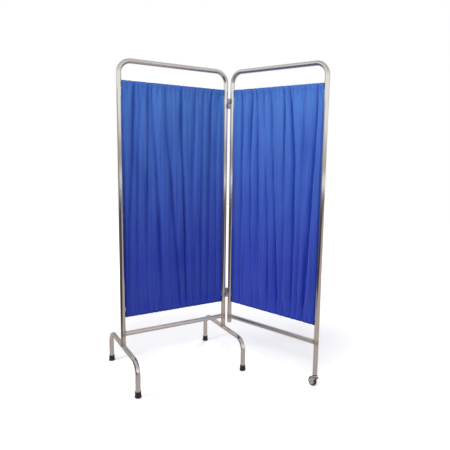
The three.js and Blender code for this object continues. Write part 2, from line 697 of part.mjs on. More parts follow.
// The caster is built round its own swivel line, with the wheel trailing towards +X.
// A ribbed sleeve in the upright holds the stem, and its flange is the dark ring under
// the tube.
function casterSleeve() {
  const bore = STEM_DIAMETER / 2 + SEAT_GAP;
  const coreRadius = PLUG_RADIUS - SLEEVE_RIB_DEPTH;
  const flangeRadius = TUBE_RADIUS - SLEEVE_FLANGE_INSET;
  const profile = [
    [bore, SLEEVE_FLANGE_BOTTOM],
    [flangeRadius, SLEEVE_FLANGE_BOTTOM],
    [flangeRadius, SLEEVE_FLANGE_TOP],
    [coreRadius, SLEEVE_FLANGE_TOP],
  ];
  for (let rib = 0; rib < SLEEVE_RIB_COUNT; rib += 1) {
    const ribTip = SLEEVE_FLANGE_TOP + SLEEVE_RIB_PITCH * rib + SLEEVE_RIB_PITCH / 2;
    profile.push([coreRadius, ribTip - SLEEVE_RIB_PITCH / 2 + SLEEVE_RIB_DEPTH]);
    profile.push([PLUG_RADIUS, ribTip]);
    profile.push([coreRadius, ribTip + SLEEVE_RIB_DEPTH]);
  }
  profile.push([coreRadius, SLEEVE_FLANGE_TOP + SLEEVE_LENGTH]);
  profile.push([bore, SLEEVE_FLANGE_TOP + SLEEVE_LENGTH]);
  profile.push([bore, SLEEVE_FLANGE_BOTTOM]);
  return turned(profile);
}

// The stem and its king pin are one turned bar, peened over under the fork crown.
function casterStem() {
  const kingPinRadius = KING_PIN_DIAMETER / 2;
  const headTop = WHEEL_DIAMETER + WHEEL_TOP_GAP - SEAT_GAP;
  const headBottom = headTop - KING_PIN_HEAD_HEIGHT;
  const headRadius = KING_PIN_HEAD_DIAMETER / 2;
  const stemRadius = STEM_DIAMETER / 2;
  const stemTop = HEAD_TOP + STEM_LENGTH;
  return turned([
    [0, headBottom],
    [headRadius - KING_PIN_HEAD_HEIGHT, headBottom],
    [headRadius, headTop],
    [kingPinRadius, headTop],
    [kingPinRadius, HEAD_TOP + SEAT_GAP],
    [stemRadius, HEAD_TOP + SEAT_GAP],
    [stemRadius, stemTop - STEM_CHAMFER],
    [stemRadius - STEM_CHAMFER, stemTop],
    [0, stemTop],
  ]);
}

// The domed swivel head is a pressed cup whose ceiling is the upper ball race.
function swivelHead() {
  const bore = KING_PIN_DIAMETER / 2 + SEAT_GAP;
  const outer = HEAD_DIAMETER / 2;
  const inner = outer - HEAD_SHEET;
  const skirtBottom = RACE_HEIGHT - HEAD_SKIRT;
  const crown = STEM_DIAMETER / 2 + HEAD_SHEET;
  const profile = [
    [bore, RACE_HEIGHT],
    [inner - HEAD_SHEET, RACE_HEIGHT],
    [inner, RACE_HEIGHT - HEAD_SHEET],
    [inner, skirtBottom],
    [outer, skirtBottom],
    [outer, RACE_HEIGHT - HEAD_SHEET / 2],
  ];
  const shoulderDrop = HEAD_TOP - RACE_HEIGHT + HEAD_SHEET / 2;
  for (let i = 1; i <= ARC_STEPS; i += 1) {
    const angle = (Math.PI * i) / (2 * ARC_STEPS);
    const radius = crown + (outer - crown) * Math.cos(angle);
    const height = RACE_HEIGHT - HEAD_SHEET / 2 + shoulderDrop * Math.sin(angle);
    profile.push([radius, height]);
  }
  profile.push([bore, HEAD_TOP]);
  profile.push([bore, RACE_HEIGHT]);
  return turned(profile);
}

// Eight balls in a flat cage roll between the fork crown and the swivel head.
function swivelBallRing() {
  const centre = FORK_CROWN_TOP + SEAT_GAP + BALL_DIAMETER / 2;
  const cageBottom = centre - BALL_CAGE_THICKNESS / 2;
  const cageInner = BALL_CIRCLE_RADIUS - BALL_CAGE_WIDTH / 2;
  const cageOuter = cageInner + BALL_CAGE_WIDTH;
  const cageTop = cageBottom + BALL_CAGE_THICKNESS;
  const cage = turnedRing(cageInner, cageOuter, cageBottom, cageTop, TURNED_SIDES);
  let solid = solidFrom(cage);
  for (let i = 0; i < BALL_COUNT; i += 1) {
    const angle = (2 * Math.PI * i) / BALL_COUNT;
    const ball = new THREE.SphereGeometry(BALL_DIAMETER / 2, BALL_SIDES, BALL_RINGS);
    ball.rotateX(Math.PI / 2);
    ball.translate(BALL_CIRCLE_RADIUS * Math.cos(angle), BALL_CIRCLE_RADIUS * Math.sin(angle), centre);
    solid = solid.add(solidFrom(ball));
  }
  return geometryFrom(solid);
}

// The fork is one folded sheet: a channel section, trimmed to a cheek outline that narrows
// from the crown to the axle eye.
function forkChannel(back, front) {
  const outer = FORK_GAP / 2 + FORK_SHEET;
  const inner = FORK_GAP / 2;
  const bottom = WHEEL_RADIUS - FORK_EYE_RADIUS - CUT_OVERRUN;
  const outerCentre = outer - FORK_CORNER_RADIUS;
  const cornerZ = FORK_CROWN_TOP - FORK_CORNER_RADIUS;
  const innerCorner = FORK_CORNER_RADIUS - FORK_SHEET;
  const section = new THREE.Shape();
  section.moveTo(-outer, bottom);
  section.lineTo(-inner, bottom);
  section.absarc(-outerCentre, cornerZ, innerCorner, Math.PI, Math.PI / 2, true);
  section.absarc(outerCentre, cornerZ, innerCorner, Math.PI / 2, 0, true);
  section.lineTo(inner, bottom);
  section.lineTo(outer, bottom);
  section.absarc(outerCentre, cornerZ, FORK_CORNER_RADIUS, 0, Math.PI / 2, false);
  section.absarc(-outerCentre, cornerZ, FORK_CORNER_RADIUS, Math.PI / 2, Math.PI, false);
  const depth = front - back;
  const options = { depth, bevelEnabled: false, curveSegments: CORNER_STEPS };
  const channel = new THREE.ExtrudeGeometry(section, options);
  channel.rotateX(Math.PI / 2);
  channel.rotateZ(Math.PI / 2);
  channel.translate(back, 0, 0);
  return channel;
}

// The angle round the axle eye at which a straight edge from the crown meets it. Hand is
// -1 for the edge behind the eye and 1 for the edge in front of it.
function eyeTangentAngle(crownX, crownZ, hand) {
  const alongX = WHEEL_TRAIL - crownX;
  const alongZ = WHEEL_RADIUS - crownZ;
  const widening = Math.asin(FORK_EYE_RADIUS / Math.hypot(alongX, alongZ));
  return Math.atan2(alongZ, alongX) + hand * (widening + Math.PI / 2);
}

function forkCheek() {
  const crownTop = FORK_CROWN_TOP + CUT_OVERRUN;
  const crownEdge = FORK_CROWN_TOP - FORK_CORNER_RADIUS;
  const backAngle = eyeTangentAngle(-FORK_CROWN_REACH, crownEdge, -1);
  const frontAngle = eyeTangentAngle(FORK_CROWN_REACH, crownEdge, 1);
  const cheek = new THREE.Shape();
  cheek.moveTo(-FORK_CROWN_REACH, crownTop);
  cheek.lineTo(-FORK_CROWN_REACH, crownEdge);
  cheek.absarc(WHEEL_TRAIL, WHEEL_RADIUS, FORK_EYE_RADIUS, backAngle, frontAngle, false);
  cheek.lineTo(FORK_CROWN_REACH, crownEdge);
  cheek.lineTo(FORK_CROWN_REACH, crownTop);
  const halfWidth = FORK_GAP / 2 + FORK_SHEET + CUT_OVERRUN;
  const options = { depth: 2 * halfWidth, bevelEnabled: false, curveSegments: ARC_STEPS };
  const outline = new THREE.ExtrudeGeometry(cheek, options);
  outline.rotateX(Math.PI / 2);
  outline.translate(0, halfWidth, 0);
  return outline;
}

function casterFork() {
  const back = -FORK_CROWN_REACH - CUT_OVERRUN;
  const front = WHEEL_TRAIL + FORK_EYE_RADIUS + CUT_OVERRUN;
  const folded = solidFrom(forkChannel(back, front)).intersect(solidFrom(forkCheek()));
  const axleHoleRadius = AXLE_DIAMETER / 2 + SEAT_GAP;
  const axleHoleLength = FORK_GAP + 2 * (FORK_SHEET + CUT_OVERRUN);
  const axleHole = onAxle(uprightBar(axleHoleRadius, axleHoleLength, SMALL_SIDES));
  const pinHoleRadius = KING_PIN_DIAMETER / 2 + SEAT_GAP;
  const pinHole = uprightBar(pinHoleRadius, 2 * (FORK_SHEET + CUT_OVERRUN), TURNED_SIDES);
  pinHole.translate(0, 0, FORK_CROWN_TOP);
  return geometryFrom(folded.subtract(solidFrom(axleHole)).subtract(solidFrom(pinHole)));
}

// Pieces of the wheel are turned about +Z and then laid over onto the axle line.
function onAxle(geometry) {
  geometry.rotateX(Math.PI / 2);
  geometry.translate(WHEEL_TRAIL, 0, WHEEL_RADIUS);
  return geometry;
}

function axleSleeve() {
  const inner = AXLE_DIAMETER / 2 + SEAT_GAP;
  const half = FORK_GAP / 2 - SEAT_GAP;
  return onAxle(turnedRing(inner, inner + AXLE_SLEEVE_WALL, -half, half, SMALL_SIDES));
}

// The wheel core: a hub, a thin web and a rim with a ridge that keys the tyre.
function wheelCore() {
  const bore = AXLE_DIAMETER / 2 + SEAT_GAP + AXLE_SLEEVE_WALL + SEAT_GAP;
  const hub = HUB_DIAMETER / 2;
  const hubHalf = FORK_GAP / 2 - HUB_SIDE_GAP;
  const rim = WHEEL_RADIUS - TYRE_DEPTH - SEAT_GAP;
  const rimInner = rim - RIM_THICKNESS;
  const rimHalf = TYRE_WIDTH / 2 - SEAT_GAP;
  const webHalf = WEB_THICKNESS / 2;
  const ridgeHalf = RIM_RIDGE_WIDTH / 2;
  const half = [
    [bore, hubHalf],
    [hub, hubHalf],
    [hub, webHalf],
    [rimInner, webHalf],
    [rimInner, rimHalf],
    [rim, rimHalf],
    [rim, ridgeHalf],
    [rim + RIM_RIDGE_HEIGHT, ridgeHalf / 2],
  ];
  const lower = half.map(([radius, offset]) => [radius, -offset]);
  const upper = half.reverse();
  return onAxle(turned([...lower, ...upper, lower[0]]));
}

function tyre() {
  const seat = WHEEL_RADIUS - TYRE_DEPTH;
  const half = TYRE_WIDTH / 2;
  const grooveHalf = RIM_RIDGE_WIDTH / 2 + SEAT_GAP;
  const grooveFloor = seat + RIM_RIDGE_HEIGHT;
  const treadHalf = half - TREAD_ROUNDING;
  const profile = [[seat, -half]];
  for (const edge of [-1, 1]) {
    for (let i = 0; i <= TREAD_STEPS; i += 1) {
      const angle = (Math.PI / 2) * (i / TREAD_STEPS) - (edge < 0 ? Math.PI / 2 : 0);
      const radius = WHEEL_RADIUS - TREAD_ROUNDING + TREAD_ROUNDING * Math.cos(angle);
      profile.push([radius, edge * treadHalf + TREAD_ROUNDING * Math.sin(angle)]);
    }
  }
  profile.push([seat, half]);
  profile.push([seat, grooveHalf]);
  profile.push([grooveFloor, grooveHalf / 2]);
  profile.push([grooveFloor, -grooveHalf / 2]);
  profile.push([seat, -grooveHalf]);
  profile.push([seat, -half]);
  return onAxle(turned(profile));
}

// A hexagonal bar on the axle line, between two distances from the middle of the wheel.
function axleHexagon(near, far) {
  const radius = AXLE_HEAD_DIAMETER / 2;
  const hexagon = uprightBar(radius, far - near, HEX_SIDES);
  hexagon.translate(0, 0, (near + far) / 2);
  return hexagon;
}

function axleBolt() {
  const cheekFace = FORK_GAP / 2 + FORK_SHEET + SEAT_GAP;
  const tip = cheekFace + AXLE_NUT_HEIGHT + AXLE_THREAD_STANDOUT;
  const root = -cheekFace - AXLE_HEAD_HEIGHT / 2;
  const shank = uprightBar(AXLE_DIAMETER / 2, tip - root, SMALL_SIDES);
  shank.translate(0, 0, (tip + root) / 2);
  const head = axleHexagon(-cheekFace - AXLE_HEAD_HEIGHT, -cheekFace);
  return onAxle(geometryFrom(solidFrom(shank).add(solidFrom(head))));
}

function axleNut() {
  const cheekFace = FORK_GAP / 2 + FORK_SHEET + SEAT_GAP;
  const hexagon = axleHexagon(cheekFace, cheekFace + AXLE_NUT_HEIGHT);
  const boreRadius = AXLE_DIAMETER / 2 + SEAT_GAP;
  const bore = uprightBar(boreRadius, AXLE_NUT_HEIGHT + CUT_OVERRUN, SMALL_SIDES);
  bore.translate(0, 0, cheekFace + AXLE_NUT_HEIGHT / 2);
  return onAxle(geometryFrom(solidFrom(hexagon).subtract(solidFrom(bore))));
}

function addCaster(panel) {
  addCasterSeat(panel);
  const caster = new THREE.Group();
  caster.position.set(OUTER_UPRIGHT_X, PANEL_PLANE_Y, 0);
  caster.rotation.z = Math.PI - THREE.MathUtils.degToRad(CASTER_REST_ANGLE);
  panel.add(caster);
  addPiece(caster, "caster_fork", casterFork(), BRIGHT_STEEL);
  addPiece(caster, "swivel_ball_ring", swivelBallRing(), DARK_STEEL);
  addPiece(caster, "axle_bolt", axleBolt(), BRIGHT_STEEL);
  addPiece(caster, "axle_nut", axleNut(), BRIGHT_STEEL);
  addPiece(caster, "axle_sleeve", axleSleeve(), BRIGHT_STEEL);
  addPiece(caster, "wheel_core", wheelCore(), PALE_PLASTIC);
  addPiece(caster, "wheel_tyre", tyre(), BLACK_RUBBER);
}

// The pieces of the caster that stay with the upright.
function addCasterSeat(panel) {
  const seat = new THREE.Group();
  seat.position.set(OUTER_UPRIGHT_X, PANEL_PLANE_Y, 0);
  panel.add(seat);
  addPiece(seat, "caster_sleeve", casterSleeve(), DARK_PLASTIC);
  addPiece(seat, "caster_stem", casterStem(), BRIGHT_STEEL);
  addPiece(seat, "swivel_head", swivelHead(), BRIGHT_STEEL);
}

function addLegs(panel) {
  const legs = { outer: -OUTER_UPRIGHT_X, inner: -INNER_UPRIGHT_X };
  const feet = { front: -LEG_SPAN / 2, rear: LEG_SPAN / 2 };
  for (const [legPlace, x] of Object.entries(legs)) {
    addPiece(panel, `leg_${legPlace}`, archedLeg(x), STAINLESS);
    for (const [footPlace, offset] of Object.entries(feet)) {
      const foot = new THREE.Group();
      foot.position.set(x, PANEL_PLANE_Y + offset, 0);
      panel.add(foot);
      addPiece(foot, `rubber_foot_${legPlace}_${footPlace}`, rubberFoot(), BLACK_RUBBER);
      addPiece(foot, `foot_washer_${legPlace}_${footPlace}`, footWasher(), DARK_STEEL);
    }
  }
}

function addPanelA(screen) {
  const panel = new THREE.Group();
  screen.add(panel);
  addPiece(panel, "frame_tube_a", copedFrameTube(-1), STAINLESS);
  addPiece(panel, "cross_rail_a", crossRail(-1), STAINLESS);
  addLegs(panel);
  addCurtain(panel, "a", -1);
  return panel;
}

// Panel B is drawn in line with panel A and then folded forward about the hinge line.
function addPanelB(screen) {
  const panel = new THREE.Group();
  panel.rotation.z = THREE.MathUtils.degToRad(OPENING_ANGLE) - Math.PI;
  screen.add(panel);
  const frame = frameTube(1, CASTER_UPRIGHT_FOOT_HEIGHT, FREE_UPRIGHT_FOOT_HEIGHT);
  addPiece(panel, "frame_tube_b", frame, STAINLESS);
  addPiece(panel, "cross_rail_b", crossRail(1), STAINLESS);
  const plug = addPiece(panel, "end_plug_b", endPlug(), GREY_PLASTIC);
  plug.position.set(INNER_UPRIGHT_X, PANEL_PLANE_Y, 0);
  addCurtain(panel, "b", 1);
  addCaster(panel);
  return panel;
}

const screen = new THREE.Group();
const panelA = addPanelA(screen);
const panelB = addPanelB(screen);
addHinge(panelA, panelB, "upper", UPPER_HINGE_HEIGHT);
addHinge(panelA, panelB, "lower", LOWER_HINGE_HEIGHT);

// The origin lies on the floor, under the middle of the screen as it stands.
screen.updateMatrixWorld(true);
const bounds = new THREE.Box3().setFromObject(screen, true);
const middle = bounds.getCenter(new THREE.Vector3());
screen.position.set(-middle.x, -middle.y, -bounds.min.z);

export default screen;
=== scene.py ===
import json
import math

import bmesh
import bpy
import numpy as np
from mathutils import Matrix, Vector, noise


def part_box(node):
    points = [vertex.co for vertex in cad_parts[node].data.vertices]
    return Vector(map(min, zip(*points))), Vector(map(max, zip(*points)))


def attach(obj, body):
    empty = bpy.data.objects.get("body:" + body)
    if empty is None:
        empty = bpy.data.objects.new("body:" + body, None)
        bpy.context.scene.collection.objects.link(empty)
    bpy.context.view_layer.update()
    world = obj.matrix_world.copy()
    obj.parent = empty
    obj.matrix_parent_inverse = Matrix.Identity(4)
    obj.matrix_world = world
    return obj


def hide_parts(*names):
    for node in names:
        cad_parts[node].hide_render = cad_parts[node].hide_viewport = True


# A ward privacy screen: two panels of polished stainless tube with gathered blue curtains.
# Panel A stands on two arched legs with rubber feet, and panel B rolls on one caster.
# Lengths are in metres. Each panel is built in its own coordinates: the hinge line is at
# the origin, panel A lies towards -X, panel B towards +X, and the front faces -Y.

MM = 0.001

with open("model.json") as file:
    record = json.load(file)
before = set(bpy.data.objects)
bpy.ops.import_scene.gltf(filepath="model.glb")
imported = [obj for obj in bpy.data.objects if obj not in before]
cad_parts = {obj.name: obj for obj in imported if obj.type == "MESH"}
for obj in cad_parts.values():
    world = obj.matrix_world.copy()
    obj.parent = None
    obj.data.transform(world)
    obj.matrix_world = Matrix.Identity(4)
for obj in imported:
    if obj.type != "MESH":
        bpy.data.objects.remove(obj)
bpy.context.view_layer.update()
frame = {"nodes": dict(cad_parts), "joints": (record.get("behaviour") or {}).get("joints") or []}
joints = {joint["name"]: joint for joint in frame["joints"]}

# Sizes of the frame
TUBE_RADIUS = 12.7 * MM
TUBE_WALL = 1.2 * MM
TOP_BEND_RADIUS = 63 * MM
LEG_BEND_RADIUS = 62 * MM
SEAT_GAP = 0.3 * MM
PLUG_FLANGE = 2.4 * MM
EDGE_ROUNDING = 0.5 * MM
FINE_SIDES = 48
BEND_STEPS = 18
TUBE_STEP = 12 * MM
CORNER_STEPS = 3
WELD_SPREAD = 16 * MM

# Camera, solved from the photograph's tubes
CAMERA_PLACE = Vector((-1.1037, -2.2173, 1.2300))
CAMERA_TURN = math.radians(-31.85)
CAMERA_PITCH = math.radians(-8.04)
CAMERA_ROLL = math.radians(1.24)
CAMERA_LENS_MM = 37.29
CAMERA_SENSOR_MM = 36.0
CAMERA_SHIFT_X = -0.0626
CAMERA_SHIFT_Y = -0.0166


# Places worked out from the frame

def height_range(node):
    """The lowest and highest Z of a CAD node."""
    low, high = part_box(node)
    return low.z, high.z


hinge_place = Vector(joints["panel_fold"]["pos_m"])
stem_place = Vector(joints["caster_swivel"]["pos_m"])
axle_place = Vector(joints["wheel_roll"]["pos_m"])
tube_low, tube_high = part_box("frame_tube_a")
leg_low, leg_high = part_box("leg_outer")

INNER_X = hinge_place.x - (tube_high.x - TUBE_RADIUS)
OUTER_X = hinge_place.x - (tube_low.x + TUBE_RADIUS)
MIDDLE_X = (INNER_X + OUTER_X) / 2
UPRIGHTS = (("outer", OUTER_X), ("inner", INNER_X))
PLANE_Y = (tube_low.y + tube_high.y) / 2 - hinge_place.y
TOP_BAR_Z = tube_high.z - TUBE_RADIUS
RAIL_Z = sum(height_range("cross_rail_a")) / 2
LEG_CROWN_Z = leg_high.z - TUBE_RADIUS
LEG_FOOT_Z = leg_low.z
LEG_FRONT_Y = leg_low.y + TUBE_RADIUS - hinge_place.y
LEG_BACK_Y = leg_high.y - TUBE_RADIUS - hinge_place.y
LEG_POSTS = (("front", LEG_FRONT_Y), ("rear", LEG_BACK_Y))
CURTAIN_BOTTOM, CURTAIN_TOP = height_range("curtain_a")
CASTER_UPRIGHT_FOOT_Z = height_range("frame_tube_b")[0]
FREE_UPRIGHT_FOOT_Z = height_range("end_plug_b")[0] + PLUG_FLANGE + SEAT_GAP
UPRIGHT_FEET = {"a": (LEG_CROWN_Z, LEG_CROWN_Z), "b": (CASTER_UPRIGHT_FOOT_Z, FREE_UPRIGHT_FOOT_Z)}

stem_offset = stem_place - hinge_place
PANEL_B_TURN = math.atan2(stem_offset.y, stem_offset.x) - math.atan2(PLANE_Y, OUTER_X)
PANEL_PLACES = {
    "a": Matrix.Translation(hinge_place),
    "b": Matrix.Translation(hinge_place) @ Matrix.Rotation(PANEL_B_TURN, 4, "Z"),
}
PANEL_SIDES = {"a": -1, "b": 1}

trail = axle_place - stem_place
CASTER_TURN = math.atan2(trail.y, trail.x)
CASTER_PLACE = Matrix.Translation((stem_place.x, stem_place.y, 0)) @ Matrix.Rotation(CASTER_TURN, 4, "Z")
WHEEL_TRAIL = math.hypot(trail.x, trail.y)
AXLE_Z = axle_place.z


# Mesh helpers

def add_object(name, data):
    added = bpy.data.objects.new(name, data)
    bpy.context.scene.collection.objects.link(added)
    return added


def make_object(name, vertices, faces, place, sharp_angle=35.0, uvs=None):
    """A mesh object from lists of points and faces, shaded smooth up to sharp_angle."""
    mesh = bpy.data.meshes.new(name)
    mesh.from_pydata([tuple(v) for v in vertices], [], faces)
    mesh.validate()
    mesh.update()
    if uvs is not None:
        layer = mesh.uv_layers.new(name="UVMap")
        corner_vertices = np.zeros(len(mesh.loops), dtype=np.int64)
        mesh.loops.foreach_get("vertex_index", corner_vertices)
        layer.data.foreach_set("uv", np.asarray(uvs, dtype=np.float32)[corner_vertices].ravel())
    piece = add_object(name, mesh)
    tidy_normals(mesh, sharp_angle)
    piece.matrix_world = place
    return piece


def tidy_normals(mesh, sharp_angle=35.0):
    build = bmesh.new()
    build.from_mesh(mesh)
    bmesh.ops.recalc_face_normals(build, faces=build.faces)
    build.to_mesh(mesh)
    build.free()
    mesh.polygons.foreach_set("use_smooth", [True] * len(mesh.polygons))
    mesh.set_sharp_from_angle(angle=math.radians(sharp_angle))
    mesh.update()


def dress(piece, body, finish, *replaced):
    """Gives a finished piece the material of its finish and its body, and hides the nodes it stands for."""
    slot, material = finish
    piece.data.materials.clear()
    piece.data.materials.append(material)
    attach(piece, body)
    if replaced:
        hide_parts(*replaced)


def modify(piece, kind, **settings):
    modifier = piece.modifiers.new(kind.lower(), kind)
    for name, value in settings.items():
        setattr(modifier, name, value)


def bevel(piece, width, **settings):
    modify(piece, "BEVEL", width=width, segments=2, limit_method="ANGLE", **settings)


def apply_modifiers(piece):
    depsgraph = bpy.context.evaluated_depsgraph_get()
    mesh = bpy.data.meshes.new_from_object(piece.evaluated_get(depsgraph))
    piece.modifiers.clear()
    piece.data = mesh


def join(target, other):
    """Joins a piece that has the same place into the target's mesh and removes it."""
    build = bmesh.new()
    build.from_mesh(target.data)
    build.from_mesh(other.data)
    bpy.data.objects.remove(other)
    build.to_mesh(target.data)
    build.free()
    tidy_normals(target.data)


def circle(count):
    """Angles spread evenly round a full turn."""
    return [2 * math.pi * step / count for step in range(count)]


def quarter_turn(steps, first=0, start=0.0):
    """Angles over a right angle from start, beginning with the step first."""
    return [start + math.pi / 2 * step / steps for step in range(first, steps + 1)]


def arc(x, y, width, height, angles):
    """Points of an ellipse round (x, y), given by its half width and half height."""
    return [(x + width * math.cos(angle), y + height * math.sin(angle)) for angle in angles]


def grid_faces(rows, columns, closed_columns=False, closed_rows=False, first=0):
    """Quads of a grid of points laid out row by row, from the point first on."""
    faces = []
    for row in range(rows if closed_rows else rows - 1):
        near = first + row * columns
        far = first + (row + 1) % rows * columns
        for column in range(columns if closed_columns else columns - 1):
            following = (column + 1) % columns
            faces.append((near + column, near + following, far + following, far + column))
    return faces


def round_corners(points, radius):
    """The same open outline with each inner corner rounded to an arc-like curve."""
    rounded = [points[0]]
    for before, corner, after in zip(points, points[1:], points[2:]):
        corner = Vector(corner)
        start, end = (corner.lerp(other, min(0.5, radius / (corner - other).length))
                      for other in (Vector(before), Vector(after)))
        for step in range(CORNER_STEPS + 1):
            share = step / CORNER_STEPS
            rounded.append(tuple(start.lerp(corner, share).lerp(corner.lerp(end, share), share)))
    rounded.append(points[-1])
    return rounded


def lathe(name, profile, place, sides=FINE_SIDES):
    """Turns a list of (radius, height) points about +Z. A point on the axis is a pole, and a
    profile that ends where it starts gives a closed ring."""
    vertices, uvs, rings = [], [], []
    closed = profile[0] == profile[-1]
    run = 0.0
    previous = profile[0]
    for radius, height in profile[:-1] if closed else profile:
        run += math.hypot(radius - previous[0], height - previous[1])
        previous = (radius, height)
        angles = circle(sides) if radius > 0 else [0.0]
        first = len(vertices)
        rings.append([first + side % len(angles) for side in range(sides)])
        vertices += [(x, y, height) for x, y in arc(0, 0, radius, radius, angles)]
        uvs += [(angle * radius, run) for angle in angles]
    if closed:
        rings.append(rings[0])
    faces = []
    for lower, upper in zip(rings, rings[1:]):
        for side in range(sides):
            following = (side + 1) % sides
            corners = (lower[side], lower[following], upper[following], upper[side])
            faces.append(tuple(dict.fromkeys(corners)))
    return make_object(name, vertices, faces, place, uvs=uvs)


def straight_stations(start, end):
    """Points along a straight run, its end left out, with their shared direction."""
    count = max(1, round((end - start).length / TUBE_STEP))
    direction = (end - start).normalized()
    return [(start.lerp(end, step / count), direction) for step in range(count)]


def bent_route(corners, bend_radius):
    """Stations (point, direction) along a bent tube's centre line, with its right-angled
    corners rounded to arcs."""
    stations = []
    cursor = corners[0]
    for before, corner, after in zip(corners, corners[1:], corners[2:]):
        incoming = (corner - before).normalized()
        outgoing = (after - corner).normalized()
        start = corner - incoming * bend_radius
        centre = start + outgoing * bend_radius
        stations += straight_stations(cursor, start)
        for angle in quarter_turn(BEND_STEPS)[:-1]:
            sine, cosine = math.sin(angle), math.cos(angle)
            point = centre + incoming * (bend_radius * sine) - outgoing * (bend_radius * cosine)
            stations.append((point, incoming * cosine + outgoing * sine))
        cursor = corner + outgoing * bend_radius
    stations += straight_stations(cursor, corners[-1])
    stations.append((corners[-1], outgoing))
    return stations


def tube(name, stations, across, place, cope=None):
    """A round tube along stations. across is the direction square to the plane of the bends.
    The cope moves the points of both end rings onto the tube that they are welded to."""
    vertices, uvs = [], []
    run = 0.0
    previous = stations[0][0]
    for index, (point, direction) in enumerate(stations):
        run += (point - previous).length
        previous = point
        inward = direction.cross(across).normalized()
        coped = cope and index in (0, len(stations) - 1)
        angles = circle(FINE_SIDES)
        ring = [point + across * reach + inward * rise
                for reach, rise in arc(0, 0, TUBE_RADIUS, TUBE_RADIUS, angles)]
        vertices += [cope(vertex) for vertex in ring] if coped else ring
        uvs += [(angle * TUBE_RADIUS, run) for angle in angles]
    faces = grid_faces(len(stations), FINE_SIDES, closed_columns=True)
    last = (len(stations) - 1) * FINE_SIDES
    faces += [tuple(range(FINE_SIDES)), tuple(range(last, last + FINE_SIDES))]
    return make_object(name, vertices, faces, place, 50.0, uvs)


def saddle_reach(offset):
    """How far a tube's surface stands out from its axis, at an offset to one side of it."""
    return math.sqrt(max(0.0, TUBE_RADIUS ** 2 - offset ** 2))


def mark(piece, name, values):
    """Stores a number at each vertex for the materials."""
    attribute = piece.data.attributes.new(name, "FLOAT", "POINT")
    attribute.data.foreach_set("value", values)


def mark_welds(piece, places):
    """Stores how near each vertex is to a weld, from 0 to 1, for the heat tint."""
    nearest = [min((vertex.co - place).length for place in places) for vertex in piece.data.vertices]
    mark(piece, "weld_heat", [max(0.0, 1.0 - max(0.0, way - TUBE_RADIUS) / WELD_SPREAD) for way in nearest])


# Materials

class Graph:
    """The nodes of a material or of the world. An input is given as a socket, a number, a
    vector, or a colour of red, green and blue."""

    def __init__(self, owner):
        owner.use_nodes = True
        self.nodes = owner.node_tree.nodes
        self.links = owner.node_tree.links

    def feed(self, node, inputs):
        for key, value in inputs.items():
            socket = node.inputs[key]
            if isinstance(value, bpy.types.NodeSocket):
                self.links.new(value, socket)
            else:
                socket.default_value = (*value, 1) if socket.type == "RGBA" else value

    def add(self, kind, inputs=None, **settings):
        node = self.nodes.new(f"ShaderNode{kind}")
        for name, value in settings.items():
            setattr(node, name, value)
        self.feed(node, inputs or {})
        return node.outputs

    def shade(self, inputs):
        """Feeds the material's main shader and gives its output."""
        shader = self.nodes["Principled BSDF"]
        self.feed(shader, inputs)
        return shader.outputs["BSDF"]

    def coordinates(self, output="Object"):
        return self.add("TexCoord")[output]

    def split(self, vector, axis):
        return self.add("SeparateXYZ", {"Vector": vector})[axis]

    def attribute(self, name):
        return self.add("Attribute", attribute_name=name)["Fac"]

    def calculate(self, operation, *values):
        return self.add("Math", dict(enumerate(values)), operation=operation)[0]

    def noise(self, vector, scale, detail=4.0, roughness=0.5, stretch=(1, 1, 1)):
        mapped = self.add("Mapping", {"Scale": stretch, "Vector": vector})["Vector"]
        inputs = {"Scale": scale, "Detail": detail, "Roughness": roughness, "Vector": mapped}
        return self.add("TexNoise", inputs)["Fac"]

    def ranged(self, value, low, high, start=0.0, end=1.0):
        """Maps a value between start and end to one between low and high."""
        inputs = {"From Min": start, "From Max": end, "To Min": low, "To Max": high, "Value": value}
        return self.add("MapRange", inputs)["Result"]

    def mix(self, factor, first, second, blend="MIX"):
        """Mixes two colours."""
        return self.add("Mix", {0: factor, 6: first, 7: second}, data_type="RGBA", blend_type=blend)[2]

    def bump(self, height, strength, distance, **more):
        inputs = {"Strength": strength, "Distance": distance, "Height": height, **more}
        return self.add("Bump", inputs)["Normal"]

    def emission(self, colour, strength=1.0):
        return self.add("Emission", {"Color": colour, "Strength": strength})["Emission"]


def new_material(name):
    material = bpy.data.materials.new(name)
    return material, Graph(material)


SATIN_ROUGHNESS = 0.20
TUBE_LINES = (120, 1.5, 1)
FITTING_GRAIN = (60, 60, 60)
HEAT_STRAW = (0.60, 0.40, 0.22)
HEAT_VIOLET = (0.30, 0.22, 0.30)
DUST_HEIGHT = 20 * MM


def steel_material(name, colour, roughness, tube=False):
    """Polished steel with smudges and fine scratches. A tube also has polishing lines along
    it, a heat tint at its welds and a satin finish where it is marked."""
    material, graph = new_material(name)
    where = graph.coordinates("UV" if tube else "Object")
    lines = graph.noise(where, 6.0, 3.0, 0.6, TUBE_LINES if tube else FITTING_GRAIN)
    smudge = graph.noise(graph.coordinates(), 6.0, 1.5)
    darker = [part * 0.92 for part in colour]
    tone = graph.mix(graph.ranged(smudge, 0, 1, 0.35, 0.7), darker, colour)
    wear = graph.calculate("ADD", smudge, lines)
    gloss = graph.ranged(wear, roughness * 0.75, roughness * 1.35, 0.75, 1.3)
    if tube:
        heat = graph.attribute("weld_heat")
        tint = graph.mix(graph.ranged(heat, 0, 1, 0.6, 1.0), HEAT_STRAW, HEAT_VIOLET)
        tone = graph.mix(graph.ranged(heat, 0, 0.55, 0.1, 1.0), tone, tint)
        satin = graph.ranged(graph.attribute("satin_share"), 0.0, SATIN_ROUGHNESS)
        gloss = graph.calculate("ADD", gloss, satin)
    graph.shade({"Base Color": tone, "Metallic": 1.0, "Roughness": gloss})
    return material


